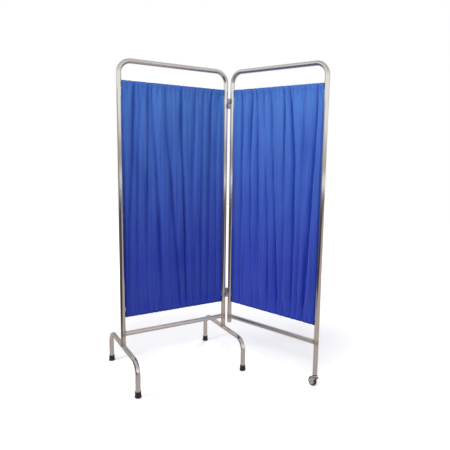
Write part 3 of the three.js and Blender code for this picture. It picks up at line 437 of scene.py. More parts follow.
def rubber_material(name, colour, dust, roughness=0.62):
    """Moulded rubber: fine grain, with dust and scuffs that lighten it low down."""
    material, graph = new_material(name)
    where = graph.coordinates()
    scuff = graph.noise(where, 60.0, 5.0, 0.65)
    low = graph.ranged(graph.split(where, "Z"), 1, 0, 0.0, DUST_HEIGHT)
    worn = graph.calculate("MULTIPLY", low, graph.ranged(scuff, 0, 0.8, 0.45, 0.7))
    graph.shade({
        "Base Color": graph.mix(worn, colour, dust),
        "Roughness": graph.ranged(scuff, roughness - 0.08, roughness + 0.15),
        "Normal": graph.bump(graph.noise(where, 900.0, 3.0), 0.25, 0.2 * MM),
    })
    return material


def plastic_material(name, colour, roughness):
    """Moulded plastic: a very fine texture, and slight wear that changes its gloss."""
    material, graph = new_material(name)
    where = graph.coordinates()
    wear = graph.noise(where, 90.0, 4.0, 0.6)
    paler = [min(1, part * 1.25 + 0.01) for part in colour]
    graph.shade({
        "Base Color": graph.mix(graph.ranged(wear, 0, 0.6, 0.5, 0.75), colour, paler),
        "Roughness": graph.ranged(wear, roughness * 0.8, roughness * 1.25),
        "Normal": graph.bump(graph.noise(where, 1200.0, 2.0), 0.15, 0.1 * MM),
    })
    return material


CLOTH_COLOUR = (0.040, 0.088, 0.44)
CLOTH_LIGHT = (0.056, 0.118, 0.50)
CLOTH_DARK = (0.029, 0.068, 0.37)
# Painted light: these tint the cloth lighter and more cyan at the top and darker and more violet at the
# bottom, standing in for light from above
PAINTED_LOW_SHADE = (0.86, 0.70, 0.96)
PAINTED_TOP_LIGHT = (1.42, 1.70, 1.01)
PAINTED_CREASE_SHADE = (0.34, 0.42, 0.76)
EDGE_SHADE_TONE = (0.30, 0.34, 0.50)
SHEEN_TINT = (0.45, 0.65, 1.0)
WARP_PITCH = 0.62 * MM
SLUB_LENGTH = 26 * MM
SLUB_WIDTH = 1.4 * MM


def crease_shade_share(graph):
    """How deep in a fold a place is, on the side of the cloth that it is seen from: the share of painted
    shade in the creases.
    """
    side = graph.ranged(graph.split(graph.coordinates("Normal"), "Y"), 1, -1, -0.2, 0.2)
    return graph.ranged(graph.calculate("MULTIPLY", graph.attribute("crease_shade"), side), 0, 1)


def cloth_material():
    """Plain woven curtain cloth. The weave and slubs follow the flat cloth, in metres."""
    material, graph = new_material("curtain_weave")
    flat = graph.coordinates("UV")
    thread_turns = [graph.calculate("MULTIPLY", graph.split(flat, axis), 2 * math.pi / WARP_PITCH)
                    for axis in "XY"]
    weave = graph.calculate("MULTIPLY", *[graph.calculate("SINE", turns) for turns in thread_turns])
    slubs = [graph.noise(flat, 1.0, 3.0, 0.6, (1 / width, 1 / length, 1))
             for width, length in ((SLUB_WIDTH, SLUB_LENGTH), (SLUB_LENGTH, SLUB_WIDTH))]
    slub_tones = [graph.mix(graph.ranged(slub, 0, 1, 0.3, 0.7), CLOTH_DARK, CLOTH_LIGHT) for slub in slubs]
    mottle = graph.ranged(graph.noise(flat, 9.0, 3.0), 0.2, 0.6, 0.3, 0.7)
    # Painted light: the colour grows lighter towards the top of the flat cloth and darker towards the bottom
    height_light = graph.ranged(graph.split(flat, "Y"), 0.0, 1.0, 0.35, 1.35)
    tone = graph.mix(mottle, graph.mix(0.5, *slub_tones), CLOTH_COLOUR)
    tone = graph.mix(1.0, tone, graph.mix(height_light, PAINTED_LOW_SHADE, PAINTED_TOP_LIGHT), "MULTIPLY")
    # Painted shade: the cloth is darker in the creases and in the valleys of the gathers
    tone = graph.mix(crease_shade_share(graph), tone, PAINTED_CREASE_SHADE, "MULTIPLY")
    # Painted shade along the side edges, and dark bands painted along the top edge and the bottom hem
    tone = graph.mix(graph.attribute("edge_shade"), tone, EDGE_SHADE_TONE, "MULTIPLY")
    coarse = graph.bump(slubs[0], 0.12, 0.3 * MM)
    graph.shade({
        "Base Color": tone,
        "Roughness": 0.82,
        "Specular IOR Level": 0.25,
        "Sheen Weight": 0.25,
        "Sheen Roughness": 0.45,
        "Sheen Tint": SHEEN_TINT,
        "Normal": graph.bump(weave, 0.25, 0.12 * MM, Normal=coarse),
    })
    return material


# Each finish is a slot of the record with its material
tube_finish = ("stainless_tube", steel_material("polished_tube", (0.80, 0.775, 0.755), 0.10, tube=True))
weld_finish = ("stainless_tube", steel_material("weld_bead", (0.50, 0.45, 0.40), 0.3))
fitting_finish = ("stainless_fittings", steel_material("satin_fittings", (0.55, 0.54, 0.52), 0.28))
bright_finish = ("bright_steel", steel_material("bright_plating", (0.74, 0.73, 0.71), 0.12))
dull_finish = ("dull_steel", steel_material("dull_zinc", (0.40, 0.38, 0.36), 0.42))
foot_finish = ("foot_rubber", rubber_material("foot_rubber", (0.020, 0.019, 0.018), (0.11, 0.10, 0.09)))
tyre_finish = ("wheel_tyre", rubber_material("tyre_rubber", (0.024, 0.022, 0.021), (0.13, 0.12, 0.11), 0.55))
plug_finish = ("grey_plastic", plastic_material("plug_plastic", (0.20, 0.21, 0.20), 0.45))
sleeve_finish = ("dark_plastic", plastic_material("sleeve_plastic", (0.055, 0.045, 0.040), 0.45))
wheel_finish = ("pale_plastic", plastic_material("wheel_plastic", (0.70, 0.68, 0.64), 0.35))
cloth_finish = ("curtain_cloth", cloth_material())
thread_finish = ("curtain_cloth", plastic_material("sewing_thread", (0.040, 0.090, 0.42), 0.7))


# Frame tubes, rails and legs

AXIS_X, AXIS_Y, AXIS_Z = Vector((1, 0, 0)), Vector((0, 1, 0)), Vector((0, 0, 1))


def panel_point(letter, along, z):
    """A point of a panel, along from the hinge line, in the panel's own coordinates."""
    return Vector((PANEL_SIDES[letter] * along, PLANE_Y, z))


def leg_cope(vertex):
    """Seats an upright's end on the crown of the leg, which runs along Y."""
    offset = min(abs(vertex.x + along) for _, along in UPRIGHTS)
    return Vector((vertex.x, vertex.y, LEG_CROWN_Z + saddle_reach(offset)))


def make_frame_tube(letter):
    on_legs = letter == "a"
    outer_foot, inner_foot = UPRIGHT_FEET[letter]
    route = [(OUTER_X, outer_foot), (OUTER_X, TOP_BAR_Z), (INNER_X, TOP_BAR_Z), (INNER_X, inner_foot)]
    stations = bent_route([panel_point(letter, *corner) for corner in route], TOP_BEND_RADIUS)
    piece = tube(f"tube_{letter}", stations, AXIS_Y, PANEL_PLACES[letter], leg_cope if on_legs else None)
    weld_heights = [RAIL_Z, LEG_CROWN_Z + TUBE_RADIUS] if on_legs else [RAIL_Z]
    mark_welds(piece, [panel_point(letter, along, z) for z in weld_heights for _, along in UPRIGHTS])
    bend_start = TOP_BAR_Z - TOP_BEND_RADIUS
    mark(piece, "satin_share", [min(1.0, max(0.0, (vertex.co.z - bend_start) / TUBE_RADIUS))
                                for vertex in piece.data.vertices])
    dress(piece, f"panel_{letter}", tube_finish, f"frame_tube_{letter}")


def make_rail(letter):
    ends = [panel_point(letter, along, RAIL_Z) for _, along in UPRIGHTS]
    start, end = sorted(ends, key=lambda point: point.x)

    def cope(vertex):
        reach = saddle_reach(vertex.y - PLANE_Y)
        at_start = abs(vertex.x - start.x) < abs(vertex.x - end.x)
        return Vector((start.x + reach if at_start else end.x - reach, vertex.y, vertex.z))

    stations = [(start, AXIS_X)] + straight_stations(start, end)[2:-1] + [(end, AXIS_X)]
    piece = tube(f"rail_{letter}", stations, AXIS_Y, PANEL_PLACES[letter], cope)
    mark_welds(piece, [start, end])
    mark(piece, "satin_share", [1.0] * len(piece.data.vertices))
    dress(piece, f"panel_{letter}", tube_finish, f"cross_rail_{letter}")


def make_leg(place_name, along):
    route = [(LEG_FRONT_Y, LEG_FOOT_Z), (LEG_FRONT_Y, LEG_CROWN_Z),
             (LEG_BACK_Y, LEG_CROWN_Z), (LEG_BACK_Y, LEG_FOOT_Z)]
    stations = bent_route([Vector((-along, y, z)) for y, z in route], LEG_BEND_RADIUS)
    piece = tube(f"arched_{place_name}_leg", stations, AXIS_X, PANEL_PLACES["a"])
    mark_welds(piece, [panel_point("a", along, LEG_CROWN_Z + TUBE_RADIUS)])
    dress(piece, "panel_a", tube_finish, f"leg_{place_name}")


# Weld beads

WELD_STEPS = 96
WELD_SIDES = 8
WELD_RADIUS = 2.3 * MM
WELD_FLATNESS = 0.75
WELD_RIPPLES = 34
WELD_RIPPLE_SHARE = 0.07
WELD_SLANT = 0.5


def make_weld(name, letter, centre, out, side, other):
    """A rippled bead round the end of a tube that stands out from centre, where it is seated
    on another tube. side is the way across that tube, and other is the way along it."""
    points, ways = [], []
    for turn in circle(WELD_STEPS):
        round_end = side * math.cos(turn) + other * math.sin(turn)
        seat = out * saddle_reach(TUBE_RADIUS * math.cos(turn))
        points.append(centre + seat + round_end * TUBE_RADIUS)
        ways.append((out * WELD_SLANT + round_end).normalized())
    vertices = []
    for step, (point, outward) in enumerate(zip(points, ways)):
        along = (points[(step + 1) % WELD_STEPS] - points[step - 1]).normalized()
        across = along.cross(outward).normalized()
        ripple = 1 + WELD_RIPPLE_SHARE * math.sin(2 * math.pi * WELD_RIPPLES * step / WELD_STEPS)
        for angle in circle(WELD_SIDES):
            offset = outward * math.cos(angle) * WELD_FLATNESS + across * math.sin(angle)
            vertices.append(point + offset * (WELD_RADIUS * ripple))
    faces = grid_faces(WELD_STEPS, WELD_SIDES, closed_columns=True, closed_rows=True)
    dress(make_object(name, vertices, faces, PANEL_PLACES[letter], 80.0), f"panel_{letter}", weld_finish)


for panel_letter in "ab":
    make_frame_tube(panel_letter)
    make_rail(panel_letter)
    for upright_name, upright_along in UPRIGHTS:
        rail_end = panel_point(panel_letter, upright_along, RAIL_Z)
        rail_way = (panel_point(panel_letter, MIDDLE_X, RAIL_Z) - rail_end).normalized()
        make_weld(f"rail_weld_{panel_letter}_{upright_name}", panel_letter,
                  rail_end, rail_way, AXIS_Y, AXIS_Z)
for upright_name, upright_along in UPRIGHTS:
    make_leg(upright_name, upright_along)
    leg_crown = panel_point("a", upright_along, LEG_CROWN_Z)
    make_weld(f"leg_weld_{upright_name}", "a", leg_crown, AXIS_Z, AXIS_X, AXIS_Y)


# Rubber feet

FOOT_BASE_RADIUS = 17.3 * MM
FOOT_NECK_RADIUS = 15.3 * MM
FOOT_FLOOR = 5 * MM
FOOT_TOP = 31 * MM
FOOT_BASE_HEIGHT = 5 * MM
FOOT_COLLAR_HEIGHT = 27 * MM
FOOT_CHAMFER = 1.2 * MM
FOOT_ROUNDING = 0.9 * MM
FOOT_LIP = 1 * MM
FOOT_WAIST = ((16.2 * MM, 7.5 * MM), (14.8 * MM, 25.5 * MM))
GROOVE_INNER_RADIUS = 9 * MM
GROOVE_OUTER_RADIUS = 11.8 * MM
GROOVE_DEPTH = 0.5 * MM
GROOVE_SLOPE = 0.6 * MM


def make_foot(place_name, foot_name, along, y):
    bore = TUBE_RADIUS + SEAT_GAP
    profile = round_corners([
        (0.0, 0.0),
        (GROOVE_INNER_RADIUS, 0.0),
        (GROOVE_INNER_RADIUS + GROOVE_SLOPE, GROOVE_DEPTH),
        (GROOVE_OUTER_RADIUS - GROOVE_SLOPE, GROOVE_DEPTH),
        (GROOVE_OUTER_RADIUS, 0.0),
        (FOOT_BASE_RADIUS - FOOT_CHAMFER, 0.0),
        (FOOT_BASE_RADIUS, FOOT_CHAMFER),
        (FOOT_BASE_RADIUS, FOOT_BASE_HEIGHT),
        *FOOT_WAIST,
        (FOOT_NECK_RADIUS, FOOT_COLLAR_HEIGHT),
        (FOOT_NECK_RADIUS, FOOT_TOP - FOOT_LIP),
        (FOOT_NECK_RADIUS - FOOT_ROUNDING, FOOT_TOP),
        (bore, FOOT_TOP),
        (bore, FOOT_FLOOR),
        (0.0, FOOT_FLOOR),
    ], FOOT_ROUNDING)
    place = PANEL_PLACES["a"] @ Matrix.Translation((-along, y, 0))
    piece = lathe(f"ferrule_{place_name}_{foot_name}", profile, place)
    dress(piece, "panel_a", foot_finish, f"rubber_foot_{place_name}_{foot_name}")


for upright_name, upright_along in UPRIGHTS:
    for post_name, post_y in LEG_POSTS:
        make_foot(upright_name, post_name, upright_along, post_y)


# Hinges

KNUCKLE_RADIUS = 6 * MM
KNUCKLE_SIDES = 40
KNUCKLE_ROUNDING = 0.6 * MM
LEAF_ROOT = 0.6 * KNUCKLE_RADIUS
LEAF_REACH = 20 * MM
LEAF_THICKNESS = 2.5 * MM
LEAF_CORNER = 4 * MM
LEAF_CORNER_STEPS = 6
PIN_RADIUS = 3 * MM
PIN_SIDES = 32
PIN_CHAMFER = 0.6 * MM
PIN_HEAD_RADIUS = 4.8 * MM
PIN_HEAD_HEIGHT = 3 * MM
PIN_HEAD_DOME = 0.45 * PIN_HEAD_HEIGHT
PIN_HEAD_CROWN = 0.2 * MM


def make_knuckle(node, letter):
    """A hinge knuckle with its leaf, which lies against the front of the upright."""
    low, high = height_range(node)
    bore = PIN_RADIUS + SEAT_GAP
    outline = [(bore, low), (KNUCKLE_RADIUS, low), (KNUCKLE_RADIUS, high), (bore, high)]
    profile = round_corners(outline, KNUCKLE_ROUNDING) + [(bore, low)]
    barrel = lathe(f"{node}_fine", profile, PANEL_PLACES[letter], KNUCKLE_SIDES)
    join(barrel, make_leaf(low, high, letter))
    dress(barrel, f"panel_{letter}", fitting_finish, node)


def make_leaf(low, high, letter):
    outline = [(LEAF_ROOT, low)]
    for corner_z, start in ((low + LEAF_CORNER, -math.pi / 2), (high - LEAF_CORNER, 0.0)):
        angles = quarter_turn(LEAF_CORNER_STEPS, start=start)
        outline += arc(LEAF_REACH - LEAF_CORNER, corner_z, LEAF_CORNER, LEAF_CORNER, angles)
    outline.append((LEAF_ROOT, high))
    back_y = PLANE_Y - TUBE_RADIUS - SEAT_GAP
    vertices = [(PANEL_SIDES[letter] * x, y, z)
                for y in (back_y, back_y - LEAF_THICKNESS) for x, z in outline]
    count = len(outline)
    faces = [tuple(range(count)), tuple(range(2 * count - 1, count - 1, -1))]
    for near in range(count):
        following = (near + 1) % count
        faces.append((near, near + count, following + count, following))
    piece = make_object("leaf", vertices, faces, PANEL_PLACES[letter])
    bevel(piece, EDGE_ROUNDING)
    apply_modifiers(piece)
    return piece


def make_pin(place_name):
    node = f"{place_name}_hinge_pin"
    low, high = height_range(node)
    head_low = high - PIN_HEAD_HEIGHT
    profile = round_corners([
        (0.0, low), (PIN_RADIUS - PIN_CHAMFER, low), (PIN_RADIUS, low + PIN_CHAMFER),
        (PIN_RADIUS, head_low),
        (PIN_HEAD_RADIUS, head_low), (PIN_HEAD_RADIUS, high - PIN_HEAD_DOME),
        (PIN_RADIUS, high - PIN_HEAD_CROWN), (0.0, high),
    ], EDGE_ROUNDING)
    piece = lathe(f"{place_name}_pin_fine", profile, PANEL_PLACES["a"], PIN_SIDES)
    dress(piece, "panel_a", bright_finish, node)


for hinge_name in ("upper", "lower"):
    make_knuckle(f"{hinge_name}_hinge_knuckle_a", "a")
    make_knuckle(f"{hinge_name}_hinge_knuckle_b", "b")
    make_pin(hinge_name)


# Curtains

FLAT_WIDTH = 0.70
CURTAIN_SIDE_GAP = 2.5 * MM
CLOTH_THICKNESS = 0.7 * MM
CLOTH_COLUMNS = 320
CLOTH_ROW_STEP = 14 * MM
HEADER_HEIGHT = 36 * MM
TOP_STITCH = CURTAIN_TOP - HEADER_HEIGHT
BOTTOM_STITCH = CURTAIN_BOTTOM + HEADER_HEIGHT
STITCH_HALF_DEPTH = 1.0 * MM
FLAT_BY_STITCH = 30 * MM
POCKET_HALF_DEPTH = 5.1 * MM
POCKET_ROUND_HEIGHT = 1.6 * POCKET_HALF_DEPTH
POCKET_ROUNDNESS = 0.3
POCKET_SIDE_STEPS = 8
POCKET_ROUND_STEPS = 9
# A crease is a narrow valley in the cloth that runs down the panel. Its row gives its share of
# the width at four levels, from the upper stitch line to the lower one, its depth shares at the
# same levels, and how sharp it is.
CREASE_LEVEL_SHARES = (0.0, 0.30, 0.62, 1.0)
CREASE_SHARES = {
    "a": [
        ((0.110, 0.085, 0.050, 0.030), (0.90, 0.75, 0.35, 0.20), 7),
        ((0.165, 0.140, 0.122, 0.125), (0.15, 0.40, 0.45, 0.30), 5),
        ((0.235, 0.230, 0.218, 0.215), (1.00, 0.80, 0.60, 0.45), 6),
        ((0.270, 0.300, 0.340, 0.355), (0.30, 0.60, 0.55, 0.35), 4),
        ((0.395, 0.430, 0.490, 0.545), (0.60, 0.60, 0.75, 0.85), 6),
        ((0.555, 0.567, 0.592, 0.610), (0.90, 1.05, 1.20, 1.05), 9),
        ((0.700, 0.685, 0.675, 0.675), (0.45, 0.50, 0.30, 0.25), 4),
        ((0.785, 0.772, 0.768, 0.770), (0.50, 0.65, 0.55, 0.50), 5),
        ((0.865, 0.857, 0.848, 0.840), (0.80, 0.75, 0.60, 0.50), 7),
        ((0.942, 0.930, 0.932, 0.935), (0.35, 0.40, 0.40, 0.40), 5),
    ],
    "b": [
        ((0.100, 0.103, 0.110, 0.110), (0.75, 0.65, 0.50, 0.45), 5),
        ((0.225, 0.200, 0.225, 0.270), (1.00, 0.70, 0.60, 0.50), 7),
        ((0.280, 0.296, 0.325, 0.345), (0.50, 0.40, 0.45, 0.35), 5),
        ((0.362, 0.390, 0.430, 0.455), (0.35, 0.35, 0.45, 0.40), 4),
        ((0.440, 0.474, 0.522, 0.570), (0.50, 0.50, 0.70, 1.05), 6),
        ((0.592, 0.603, 0.618, 0.640), (0.50, 0.45, 0.45, 0.50), 5),
        ((0.655, 0.722, 0.728, 0.725), (1.10, 1.15, 0.75, 0.50), 7),
        ((0.800, 0.795, 0.798, 0.790), (0.20, 0.25, 0.30, 0.30), 3),
        ((0.938, 0.925, 0.897, 0.858), (0.80, 0.90, 1.05, 1.15), 8),
    ],
}
FOLD_DEPTH = 15 * MM
FOLD_GROWTH = 95 * MM
DEPTH_LIMIT = 15.5 * MM
RIDGE_DEPTH = 5 * MM
RIDGE_WIDTH = 70 * MM
LEAST_RIDGE_SHARE = 0.3
RIDGE_POWER = 0.8
# The width and the power of each slope beside a crease
RISE_SLOPE = (6.5 * MM, 1.3)
FALL_SLOPE = (10.5 * MM, 1.6)
SHOULDER_SLOPE = (26 * MM, 1.4)
SHOULDER_SHARE = 0.40
POCKET_FOLD_SHARE = 0.14
EDGE_SHARPNESS = 2
PLAIN_SHARPNESS = 6
CORNER_PASSES = 9
SWAY_DEPTH = 5 * MM
SWAY_HEIGHT = 330 * MM
# Each rumple's width and height on the cloth, and its depth
RUMPLE_SIZES = ((28 * MM, 520 * MM, 7.5 * MM), (12 * MM, 380 * MM, 3.4 * MM), (90 * MM, 170 * MM, 4.5 * MM))
RUMPLE_SEEDS = {"a": 3.7, "b": 41.3}
RUMPLE_SEED_SPREAD = 900
LIVELY_SHARES = {"a": 1.0, "b": 1.3}
GATHER_SEEDS = {"a": 5.1, "b": 23.9}
GATHER_LENGTH = 300 * MM
GATHER_DRIFT = 14 * MM
GATHER_DRIFT_WIDTH = 60 * MM
GATHER_PATCH_WIDTH = 37 * MM
GATHER_PATCH_SEED_STEP = 5
GATHER_PATCH_MIDDLE = 0.6
GATHER_PATCH_SWING = 1.3
FINE_PITCH = 11.5 * MM
FINE_POWER = 0.8
FINE_SHARE = 0.45
FINE_DRIFT_GAIN = 1.6
FINE_PATCH_TOP = 1.1
COARSE_PITCH = 2.3 * FINE_PITCH
COARSE_POWER = 0.7
COARSE_SHARE = 0.75
PUCKER_DEPTH = 2.4 * MM
PUCKER_REACH = 55 * MM
LONG_PUCKER_SHARE = 0.75
LONG_PUCKER_REACH = 600 * MM
POCKET_PUCKER_DEPTH = 3.0 * MM
POCKET_DENT_DEPTH = 0.3 * MM
# Painted shade in the valleys of the gathers by the hems
POCKET_SHADE = 0.85
POCKET_SHADE_POWER = 1.6
POCKET_CALM_SHARE = 0.6
CREASE_MARK_WIDTH = 6 * MM
CREASE_MARK_GAIN = 1.3
HEM_WAVE_HEIGHT = 1.6 * MM
# Widths and strengths of the painted shade along the side edges and of the dark bands at the top edge and
# bottom hem
TOP_EDGE_SHADE_WIDTH = 6.5 * MM
SIDE_EDGE_SHADE_WIDTH = 19 * MM
SIDE_EDGE_SHADE = 0.85
SIDE_EDGE_SHADE_GROWTH = 1.5
LOW_HEM_WIDTH = 22 * MM
LOW_HEM_SHADE = 0.42
EDGE_CURL_WIDTH = 9 * MM
EDGE_CURL_DEPTH = 5 * MM
EDGE_CALM_WIDTH = 14 * MM
EDGE_SPREAD = 1 * MM
CURL_GROWTH = 30 * MM


def smooth_step(value):
    value = np.clip(value, 0.0, 1.0)
    return value * value * (3 - 2 * value)


def smooth_noise(x, z, x_size, z_size, seed):
    """Noise between about -1 and 1 on arrays of points, stretched to the given sizes."""
    flat = [noise.noise(Vector((a / x_size, b / z_size, seed))) for a, b in zip(x.ravel(), z.ravel())]
    return np.array(flat).reshape(x.shape)


def softened(curve):
    """Rounds the corners of a curve that is sampled down the curtain."""
    for _ in range(CORNER_PASSES):
        curve = np.concatenate([curve[:1], (curve[:-2] + 2 * curve[1:-1] + curve[2:]) / 4, curve[-1:]])
    return curve


def drop_share(z):
    """0 from the upper stitch line up, growing to 1 at the lower one."""
    return np.clip((TOP_STITCH - z) / (TOP_STITCH - BOTTOM_STITCH), 0, 1)


def open_share(z):
    """1 where the cloth hangs free, falling to 0 at the stitch lines."""
    return smooth_step((TOP_STITCH - z) / FOLD_GROWTH) * smooth_step((z - BOTTOM_STITCH) / FOLD_GROWTH)


def in_pocket(z):
    return (z > TOP_STITCH) | (z < BOTTOM_STITCH)


def cloth_rows():
    """The way of the cloth from the back of the bottom hem, round the bottom rod, up the
    front, round the top rod and down to the stitch line behind. A row is its height and its
    depth before the folds."""
    pocket = []
    side_height = HEADER_HEIGHT - POCKET_ROUND_HEIGHT
    for step in range(POCKET_SIDE_STEPS + 1):
        share = step / POCKET_SIDE_STEPS
        swell = (1 - POCKET_ROUNDNESS) * share + POCKET_ROUNDNESS * smooth_step(share)
        depth = STITCH_HALF_DEPTH + (POCKET_HALF_DEPTH - STITCH_HALF_DEPTH) * swell
        pocket.append((side_height * share, depth))
    angles = quarter_turn(POCKET_ROUND_STEPS, 1)
    round_part = arc(0, side_height, POCKET_HALF_DEPTH, POCKET_ROUND_HEIGHT, angles)
    pocket += [(rise, depth) for depth, rise in round_part]
    rows = [(BOTTOM_STITCH - rise, depth) for rise, depth in pocket]
    rows += [(BOTTOM_STITCH - rise, -depth) for rise, depth in reversed(pocket[:-1])]
    count = round((TOP_STITCH - BOTTOM_STITCH) / CLOTH_ROW_STEP)
    for step in range(1, count):
        height = BOTTOM_STITCH + (TOP_STITCH - BOTTOM_STITCH) * step / count
        from_stitch = min(height - BOTTOM_STITCH, TOP_STITCH - height)
        rows.append((height, -STITCH_HALF_DEPTH * (1 - smooth_step(from_stitch / FLAT_BY_STITCH))))
    rows += [(TOP_STITCH + rise, -depth) for rise, depth in pocket]
    rows += [(TOP_STITCH + rise, depth) for rise, depth in reversed(pocket[:-1])]
    return rows


def crease_tracks(letter, heights, width):
    """Each crease's place across and its depth at every row, with the edges at both ends."""
    tracks = []
    drops = drop_share(heights)
    for index, (centres, depths, sharpness) in enumerate(CREASE_SHARES[letter]):
        centre = softened(np.interp(drops, CREASE_LEVEL_SHARES, centres)) * width
        sway = [noise.noise(Vector((index * 7.3, height / SWAY_HEIGHT, ord(letter)))) for height in heights]
        centre = centre + SWAY_DEPTH * np.array(sway) * np.sin(math.pi * drops)
        deep = softened(np.interp(drops, CREASE_LEVEL_SHARES, depths)) * FOLD_DEPTH * LIVELY_SHARES[letter]
        tracks.append((centre, deep, sharpness))
    still = np.zeros(len(heights))
    return [(still, still, EDGE_SHARPNESS)] + tracks + [(still + width, still, EDGE_SHARPNESS)]


def slope(distance, width_and_power):
    """1 at a crease, dying away beside it."""
    width, power = width_and_power
    return np.exp(-(distance / width) ** power)


def fold_depth(letter, x, z, tracks):
    """How far the cloth stands back from its plane, for arrays of places on the panel. From
    left to right the cloth bulges forward, falls back into a crease and rises steeply again."""
    depth = np.zeros_like(x)
    for (left, left_deep, left_sharp), (right, right_deep, right_sharp) in zip(tracks, tracks[1:]):
        span = np.maximum(right - left, 1 * MM)[:, None]
        way = (x - left[:, None]) / span
        inside = (way >= 0) & (way < 1)
        way = np.clip(way, 0, 1)
        from_left = way * span * math.sqrt(left_sharp / PLAIN_SHARPNESS)
        from_right = (1 - way) * span * math.sqrt(right_sharp / PLAIN_SHARPNESS)
        rise = slope(from_left, RISE_SLOPE)
        steep = slope(from_right, FALL_SLOPE)
        fall = (1 - SHOULDER_SHARE) * steep + SHOULDER_SHARE * slope(from_right, SHOULDER_SLOPE)
        ridge = RIDGE_DEPTH * np.clip(span / RIDGE_WIDTH, LEAST_RIDGE_SHARE, 1.0)
        bulge = ridge * np.sin(math.pi * way) ** RIDGE_POWER
        dip = left_deep[:, None] * rise + right_deep[:, None] * fall
        depth = np.where(inside, dip - bulge, depth)
    for x_size, z_size, reach in RUMPLE_SIZES:
        seed = RUMPLE_SEEDS[letter] + x_size * RUMPLE_SEED_SPREAD
        rumple = smooth_noise(x, z, x_size, z_size, seed)
        depth = depth + LIVELY_SHARES[letter] * reach * rumple
    past_stitch = np.maximum(z - TOP_STITCH, BOTTOM_STITCH - z)
    by_rod = smooth_step(past_stitch / (POCKET_CALM_SHARE * HEADER_HEIGHT))
    return depth * (POCKET_FOLD_SHARE * (1 - by_rod) + (1 - POCKET_FOLD_SHARE) * open_share(z))


def puckers(place, pitch, power):
    """1 in narrow valleys a pitch apart, and -1 on the round fronts between them."""
    return 1 - 2 * np.abs(np.sin(math.pi * place / pitch)) ** power


def gathers(letter, x, z, crease_marks):
    """The small gathers near the hems: -1 on the round front of one and 1 in the narrow
    valley beside it. Each crease ends in a valley too."""
    seed = GATHER_SEEDS[letter]
    drift = GATHER_DRIFT * smooth_noise(x, z, GATHER_DRIFT_WIDTH, GATHER_LENGTH, seed)
    coarse = COARSE_SHARE * puckers(x + drift, COARSE_PITCH, COARSE_POWER)
    fine = FINE_SHARE * puckers(x + FINE_DRIFT_GAIN * drift, FINE_PITCH, FINE_POWER)
    patches = smooth_noise(x, z, GATHER_PATCH_WIDTH, GATHER_LENGTH, seed + GATHER_PATCH_SEED_STEP)
    patchy = np.clip(GATHER_PATCH_MIDDLE + GATHER_PATCH_SWING * patches, 0, 1)
    wave = np.clip(coarse * patchy + fine * (FINE_PATCH_TOP - patchy), -1, 1)
    return wave + (1 - wave) * crease_marks


def crease_nearness(x, tracks):
    """1 along each deep crease, falling to 0 a few millimetres beside it."""
    nearness = np.zeros_like(x)
    for centre, deep, _ in tracks[1:-1]:
        strength = np.clip(CREASE_MARK_GAIN * deep / FOLD_DEPTH, 0, 1)[:, None]
        beside = (x - centre[:, None]) / CREASE_MARK_WIDTH
        nearness = np.maximum(nearness, strength * np.exp(-beside ** 2))
    return nearness


def hem_depth(z, rest_depth, wave):
    """How far the gathers move the cloth. Under the stitch line they die away into the
    folds, and round a rod they only stand out from it."""
    nearest = np.minimum(np.abs(z - TOP_STITCH), np.abs(z - BOTTOM_STITCH))
    long_share = LONG_PUCKER_SHARE * np.exp(-((TOP_STITCH - z) / LONG_PUCKER_REACH) ** 2)
    below = PUCKER_DEPTH * (np.exp(-nearest / PUCKER_REACH) + long_share) * wave
    bulge = smooth_step((np.abs(rest_depth) - STITCH_HALF_DEPTH) / (POCKET_HALF_DEPTH - STITCH_HALF_DEPTH))
    reach = POCKET_PUCKER_DEPTH * (0.5 - 0.5 * wave) - POCKET_DENT_DEPTH * (0.5 + 0.5 * wave)
    outward = np.sign(rest_depth) * reach * bulge
    at_stitch = 0.5 * PUCKER_DEPTH * wave * (1 - bulge)
    return np.where(in_pocket(z), outward + at_stitch, below)


def flat_coordinates(points):
    """Where each point of the hung cloth was on the flat cloth, in metres."""
    across = np.linalg.norm(np.diff(points, axis=1), axis=2)
    u = np.concatenate([np.zeros((points.shape[0], 1)), np.cumsum(across, axis=1)], axis=1)
    u = u / u[:, -1:] * FLAT_WIDTH
    along = np.linalg.norm(np.diff(points, axis=0), axis=2).mean(axis=1)
    v = np.concatenate([[0.0], np.cumsum(along)])
    return np.stack([u, np.repeat(v[:, None], points.shape[1], axis=1)], axis=2)


def edge_curl(letter, x, z, width):
    """The outer edge turns back and the inner one forward, away from the hems."""
    from_edge = np.minimum(x, width - x)
    on_outer_side = (x < width / 2) == (PANEL_SIDES[letter] < 0)
    curl = EDGE_CURL_DEPTH * (1 - smooth_step(from_edge / EDGE_CURL_WIDTH))
    near_hem = np.minimum(TOP_STITCH - z, z - BOTTOM_STITCH)
    return np.where(on_outer_side, curl, -curl) * smooth_step(near_hem / CURL_GROWTH)


def crease_shade_marks(z, rest_depth, folds, wave):
    """How deep in a valley of the front each place is, from -1 to 1, for the painted shade in the creases
    and in the valleys of the gathers.
    """
    gather_shade = POCKET_SHADE * (0.5 + 0.5 * wave) ** POCKET_SHADE_POWER
    by_rod = -np.sign(rest_depth) * gather_shade
    hem_shade_share = np.where(in_pocket(z), by_rod, gather_shade * (1 - open_share(z)))
    return np.clip(folds / FOLD_DEPTH + hem_shade_share, -1, 1)


def edge_shade_marks(z, from_edge):
    """How much painted shade the side edges get, growing towards the bottom, and how dark the bands along
    the top edge and the bottom hem are, from 0 to 1.
    """
    side_shade_growth = SIDE_EDGE_SHADE * smooth_step(drop_share(z) * SIDE_EDGE_SHADE_GROWTH)
    side_shade = side_shade_growth * (1 - smooth_step(from_edge / SIDE_EDGE_SHADE_WIDTH))
    low_shade = LOW_HEM_SHADE * (1 - smooth_step((z - CURTAIN_BOTTOM) / LOW_HEM_WIDTH))
    top_shade = 1 - smooth_step((CURTAIN_TOP - z) / TOP_EDGE_SHADE_WIDTH)
    return np.maximum(top_shade, np.maximum(low_shade, side_shade))


